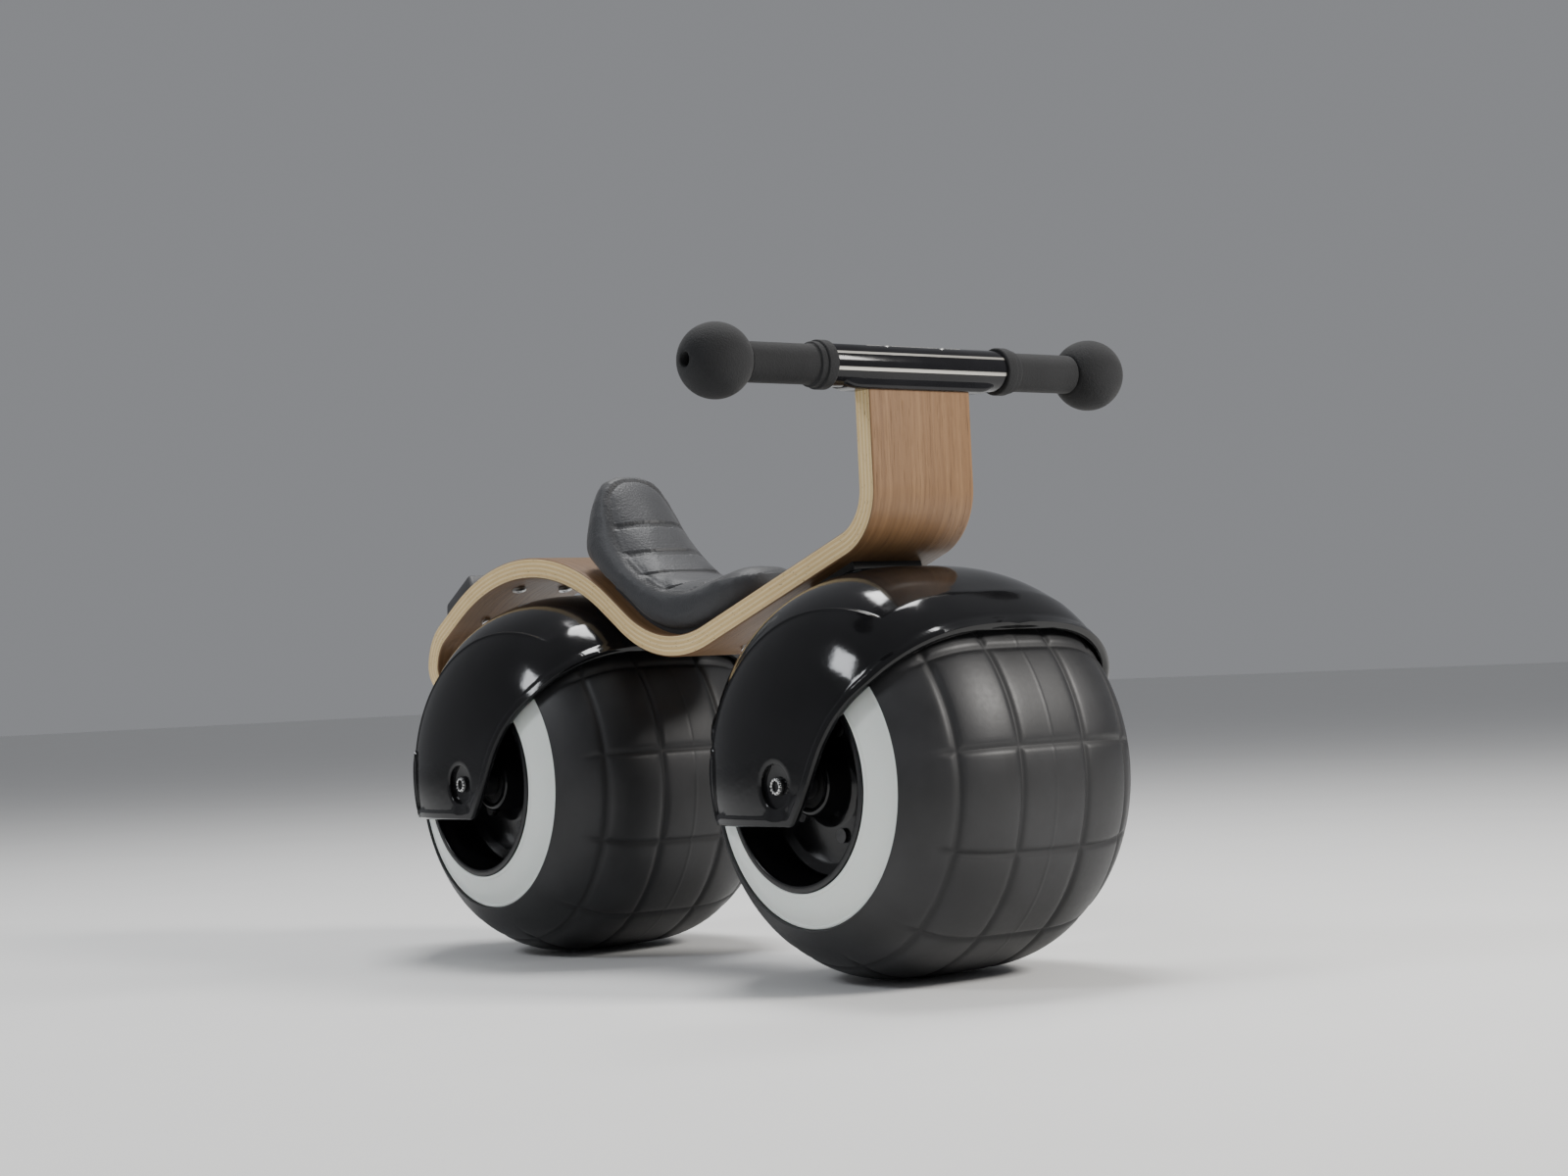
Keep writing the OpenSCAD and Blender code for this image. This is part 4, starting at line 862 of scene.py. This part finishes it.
# ---- Tail block --------------------------------------------------------------------------------
# A small moulded bumper with rounded edges on the tail's outer slope, held by two screws from below.

def soft_block(half, radius, count):
    """A block with rounded edges: a ball of the radius whose eight parts are moved apart to the
    corners. Gives points about its centre and the faces."""
    lat = (np.arange(count) + 0.5) / count * math.pi - math.pi / 2
    lon = (np.arange(count * 2) + 0.5) / (count * 2) * 2 * math.pi
    ball = np.stack([np.cos(lat)[:, None] * np.cos(lon), np.cos(lat)[:, None] * np.sin(lon),
                     np.broadcast_to(np.sin(lat)[:, None], (count, count * 2))], -1)
    points = ball * radius + np.sign(ball) * (np.array(half) - radius)
    caps = [np.arange(count * 2), np.arange(count * 2) + (count - 1) * count * 2]
    return points.reshape(-1, 3), [*grid_faces(count, count * 2, wrap_columns=True), *caps]


block_half, block_taper, block_up, block_out = (20.5, 32.0, 7.2), np.array([0.15, 0.09]), 42.0, 12.3
way, up = heading_of(tail_slope), heading_of(tail_slope + 90)
block_centre = tail_corner + way * block_up + up * block_out
block, block_faces = soft_block(block_half, 3.0, 24)
block[:, :2] *= 1 - block_taper * np.clip((block[:, 2:] + 3.0) / 10.2, 0, 1)
block_side = block_centre + block[:, :1] * way + block[:, 2:] * up
block = np.column_stack([rear_axle_x / mm + block_side[:, 0], block[:, 1], block_side[:, 1]])
bumper, _ = mottled("tail_grey_plastic", {"Specular IOR Level": 0.45}, 90.0, 3.0,
                    (0.034, 0.034, 0.036), (0.062, 0.062, 0.066), 0.46, 0.16)
bumper.bump(bumper.noise(bumper.place(), 900.0, 2.0), 0.0001)
add_piece("tail_bumper", block * mm, block_faces, bumper, "frame", ["tail_block"])

# ---- Saddle ------------------------------------------------------------------------------------
# A foam pad on a moulded base, covered in charcoal leatherette: a low seat that sweeps up into a
# rounded back and down over a short nose. An inset panel with sewn channels is piped round its edge.

hide = Finish("charcoal_leatherette",
              {"Specular IOR Level": 0.42, "Sheen Weight": 0.12, "Sheen Roughness": 0.45})
hide_place = hide.place()
pebble = hide.cells(hide_place, 780.0, "SMOOTH_F1")
crinkle = hide.noise(hide_place, 520.0, 4.0)
patina = hide.noise(hide_place, 28.0, 4.0)
# The sewn channels and the seam round the panel are darkened in the colour: painted shade in their creases.
pressed = hide.axes(hide.marked("seam"))[0]
worn_hide = hide.mix(patina, (0.022, 0.023, 0.0255), (0.042, 0.0435, 0.048))
hide.set({"Base Color": hide.mix(pressed * 0.7, worn_hide, (0.010, 0.010, 0.011)),
          "Roughness": 0.44 + patina * 0.12 + crinkle * 0.08})
hide.bump(pebble * 0.7 + crinkle * 0.3, 0.00022)

# Side view from the rear axle: the upper surface, the underside, and half the width
saddle_top = np.array([[51.5, 299.5], [58.5, 297], [65.5, 289.5], [72.5, 279.5], [80.5, 268.5], [89.5, 257.5],
                       [99.5, 246.5], [111, 237.8], [124.5, 231.2], [140, 228.4], [156, 229.8], [170, 233.6],
                       [183, 237.6], [193.5, 237], [201.5, 232], [205.5, 223.5]])
saddle_low = np.array([[48.5, 298.5], [42.0, 293], [38.0, 283], [36.0, 271], [35.0, 259.5], [36.8, 250.0],
                       [49, 240.0], [66, 228.4], [84, 216.7], [104, 204.1], [124, 197.0], [146, 194.8],
                       [164, 197.0], [180, 202.2], [191.5, 207.0], [202.5, 215.0]])
saddle_half = np.array([12, 20, 26.5, 31, 34.5, 37.3, 39, 40, 40, 39.5, 38, 36.4, 34, 29.5, 22, 9.0])


def curve_through(values, count):
    """A smooth line through the given stations: a Catmull-Rom curve, sampled evenly."""
    padded = np.vstack([2 * values[:1] - values[1:2], values, 2 * values[-1:] - values[-2:-1]])
    at = np.linspace(0, len(values) - 1, count)
    k = np.minimum(at.astype(int), len(values) - 2)
    t = (at - k)[:, None]
    p0, p1, p2, p3 = (padded[k + n] for n in range(4))
    return 0.5 * (2 * p1 + (p2 - p0) * t + (2 * p0 - 5 * p1 + 4 * p2 - p3) * t ** 2
                  + (3 * p1 - p0 - 3 * p2 + p3) * t ** 3)


stations = curve_through(np.column_stack([saddle_top, saddle_low, saddle_half]), 91)
top_line, low_line, half_line = stations[:, :2], stations[:, 2:4], stations[:, 4]
shrink = 1.8


def pad_loop(turns):
    """Points round each station: a rounded box, |x|^n + |y|^n = 1, where n is 2.5 above and 4 below."""
    full = np.where(np.sin(turns) > 0, 2.5, 4.0)
    side = np.sign(np.cos(turns)) * np.abs(np.cos(turns)) ** (2 / full)
    up = np.sign(np.sin(turns)) * np.abs(np.sin(turns)) ** (2 / full)
    middle, reach = (top_line + low_line) / 2, (top_line - low_line) / 2
    length = np.linalg.norm(reach, axis=1, keepdims=True)
    reach = reach * np.maximum(length - shrink, 0.4) / np.maximum(length, 1e-6)
    narrow = 1 - 0.13 * np.clip((0.1 - up) / 1.1, 0, 1) ** 1.2
    plane = middle[:, None] + reach[:, None] * up[None, :, None]
    width = np.maximum(half_line - shrink, 0.5)[:, None] * side * narrow
    return np.stack([plane[..., 0], width, plane[..., 1]], -1)


pad_turn = np.linspace(0, 2 * math.pi, 65)[:-1]
pad_points = pad_loop(pad_turn)
pad_rows, pad_columns = pad_points.shape[:2]
pad_caps = [np.arange(pad_columns), np.arange(pad_columns) + (pad_rows - 1) * pad_columns]
pad = add_piece("saddle_pad_cover", pad_points.reshape(-1, 3) * mm + [rear_axle_x, 0, 0],
                [*grid_faces(pad_rows, pad_columns, wrap_columns=True), *pad_caps], hide, "frame",
                ["saddle_pad"], sharp=180)


def apply_modifier(piece, modifier):
    """Bakes one modifier's result into the piece's mesh."""
    shown = piece.evaluated_get(bpy.context.evaluated_depsgraph_get())
    mesh = bpy.data.meshes.new_from_object(shown)
    piece.modifiers.remove(modifier)
    old, piece.data = piece.data, mesh
    bpy.data.meshes.remove(old)


def vertex_places(mesh):
    places = np.empty(len(mesh.vertices) * 3, dtype=np.float32)
    mesh.vertices.foreach_get("co", places)
    return places.reshape(-1, 3).astype(float)


remesh = pad.modifiers.new("remesh", "REMESH")
remesh.mode, remesh.voxel_size, remesh.use_smooth_shade = "VOXEL", 4.2 * mm, True
apply_modifier(pad, remesh)
swell_most, swell_share = 5.5 * mm, 0.5
before = vertex_places(pad.data)
air = pad.modifiers.new("air", "CLOTH")
air.settings.use_pressure, air.settings.uniform_pressure_force = True, 4.0
air.settings.effector_weights.gravity = 0.0
for tick in range(1, 21):
    bpy.context.scene.frame_set(tick)
    bpy.context.view_layer.update()
swollen = pad.evaluated_get(bpy.context.evaluated_depsgraph_get())
moved = vertex_places(swollen.data) - before
pad.modifiers.remove(air)
bpy.context.scene.frame_set(1)
length = np.linalg.norm(moved, axis=1, keepdims=True)
moved *= np.minimum(1, swell_most / np.maximum(length, 1e-9)) * swell_share
pad.data.vertices.foreach_set("co", (before + moved).astype(np.float32).ravel())
finer = pad.modifiers.new("finer", "SUBSURF")
finer.levels = finer.render_levels = 2
apply_modifier(pad, finer)


def along_saddle(places):
    """For each point: how far along the saddle it is, as a station number, how far out to its edge
    from 0 to 1, and how high between the underside at -1 and the upper surface at 1."""
    side_view = np.column_stack([(places[:, 0] - rear_axle_x) / mm, places[:, 2] / mm])
    middle, reach = (top_line + low_line) / 2, (top_line - low_line) / 2
    unit = reach / np.maximum(np.linalg.norm(reach, axis=1, keepdims=True), 1e-6)
    off = side_view[:, None] - middle[None]
    beside = np.abs(off[..., 0] * unit[:, 1] - off[..., 1] * unit[:, 0])
    nearest = np.argmin(beside + 0.15 * np.linalg.norm(off, axis=2), 1)
    height = (off[np.arange(len(places)), nearest] * unit[nearest]).sum(1)
    return nearest, np.abs(places[:, 1]) / mm / half_line[nearest], \
        height / np.maximum(np.linalg.norm(reach[nearest], axis=1), 1e-6)


places = vertex_places(pad.data)
station, out_share, height = along_saddle(places)
panel_edge, panel_first, panel_last = 0.80, 5.5, 84.0
end_share = np.clip(np.minimum(station - panel_first, panel_last - station) / 9.0, 0, 1)
edge_here = panel_edge * np.sqrt(np.clip(1 - (1 - end_share) ** 2, 0, 1))
upper = np.clip((height - 0.25) / 0.3, 0, 1)
in_panel = np.clip((edge_here - out_share) / 0.07, 0, 1) * upper * (end_share > 0)
to_edge = np.abs(out_share - edge_here) * half_line[station]
seam_line = np.exp(-(to_edge / 1.5) ** 2) * upper * (end_share > 0.02)
channel_stations = np.array([24.5, 34.5, 43.5, 52.0, 60.5, 69.0])
step_length = np.gradient(np.concatenate([[0], np.cumsum(np.linalg.norm(np.diff(top_line, axis=0), axis=1))]))
to_channel = np.min(np.abs(station[:, None] - channel_stations[None]), 1) * step_length[station]
channel = np.exp(-(to_channel / 1.6) ** 2) * in_panel
puff = np.exp(-to_channel / 6.0) * in_panel
normals = np.empty(len(places) * 3, dtype=np.float32)
pad.data.vertex_normals.foreach_get("vector", normals)
drop = (1.5 * in_panel + 1.3 * channel + 0.7 * puff + 1.2 * seam_line) * mm
places -= normals.reshape(-1, 3) * drop[:, None]
# The cover's skirt stops just above the strip, and its hollow underside fits over the moulded base
in_dip = (ply_line[:, 0] > 20) & (ply_line[:, 0] < 220)
strip_x = rear_axle_x + mm * (ply_line[in_dip, 0] - np.sin(ply_heading[in_dip]) * ply_half_thick)
strip_z = mm * (ply_line[in_dip, 1] + np.cos(ply_heading[in_dip]) * ply_half_thick)
base_low, base_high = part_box("saddle_base")
over_base = (np.abs(places[:, 1]) < base_high[1] + 0.6 * mm) \
    & (places[:, 0] > base_low[0] - 0.5 * mm) & (places[:, 0] < base_high[0] + 0.5 * mm)
clear = np.where(over_base, 4.2, 0.4) / np.interp(places[:, 0], strip_x, np.cos(ply_heading[in_dip]))
places[:, 2] = np.maximum(places[:, 2], np.interp(places[:, 0], strip_x, strip_z) + clear * mm)
pad.data.vertices.foreach_set("co", places.astype(np.float32).ravel())
# The channel and seam lines are stored for the cover's colour, which darkens them as painted shade in the
# creases.
crease_shade_layer = pad.data.attributes.new("seam", "FLOAT_VECTOR", "POINT")
painted_crease_shade = np.clip(np.maximum(channel, seam_line), 0, 1)
crease_shade_layer.data.foreach_set("vector", np.repeat(painted_crease_shade, 3).astype(np.float32))
pad.data.shade_smooth()
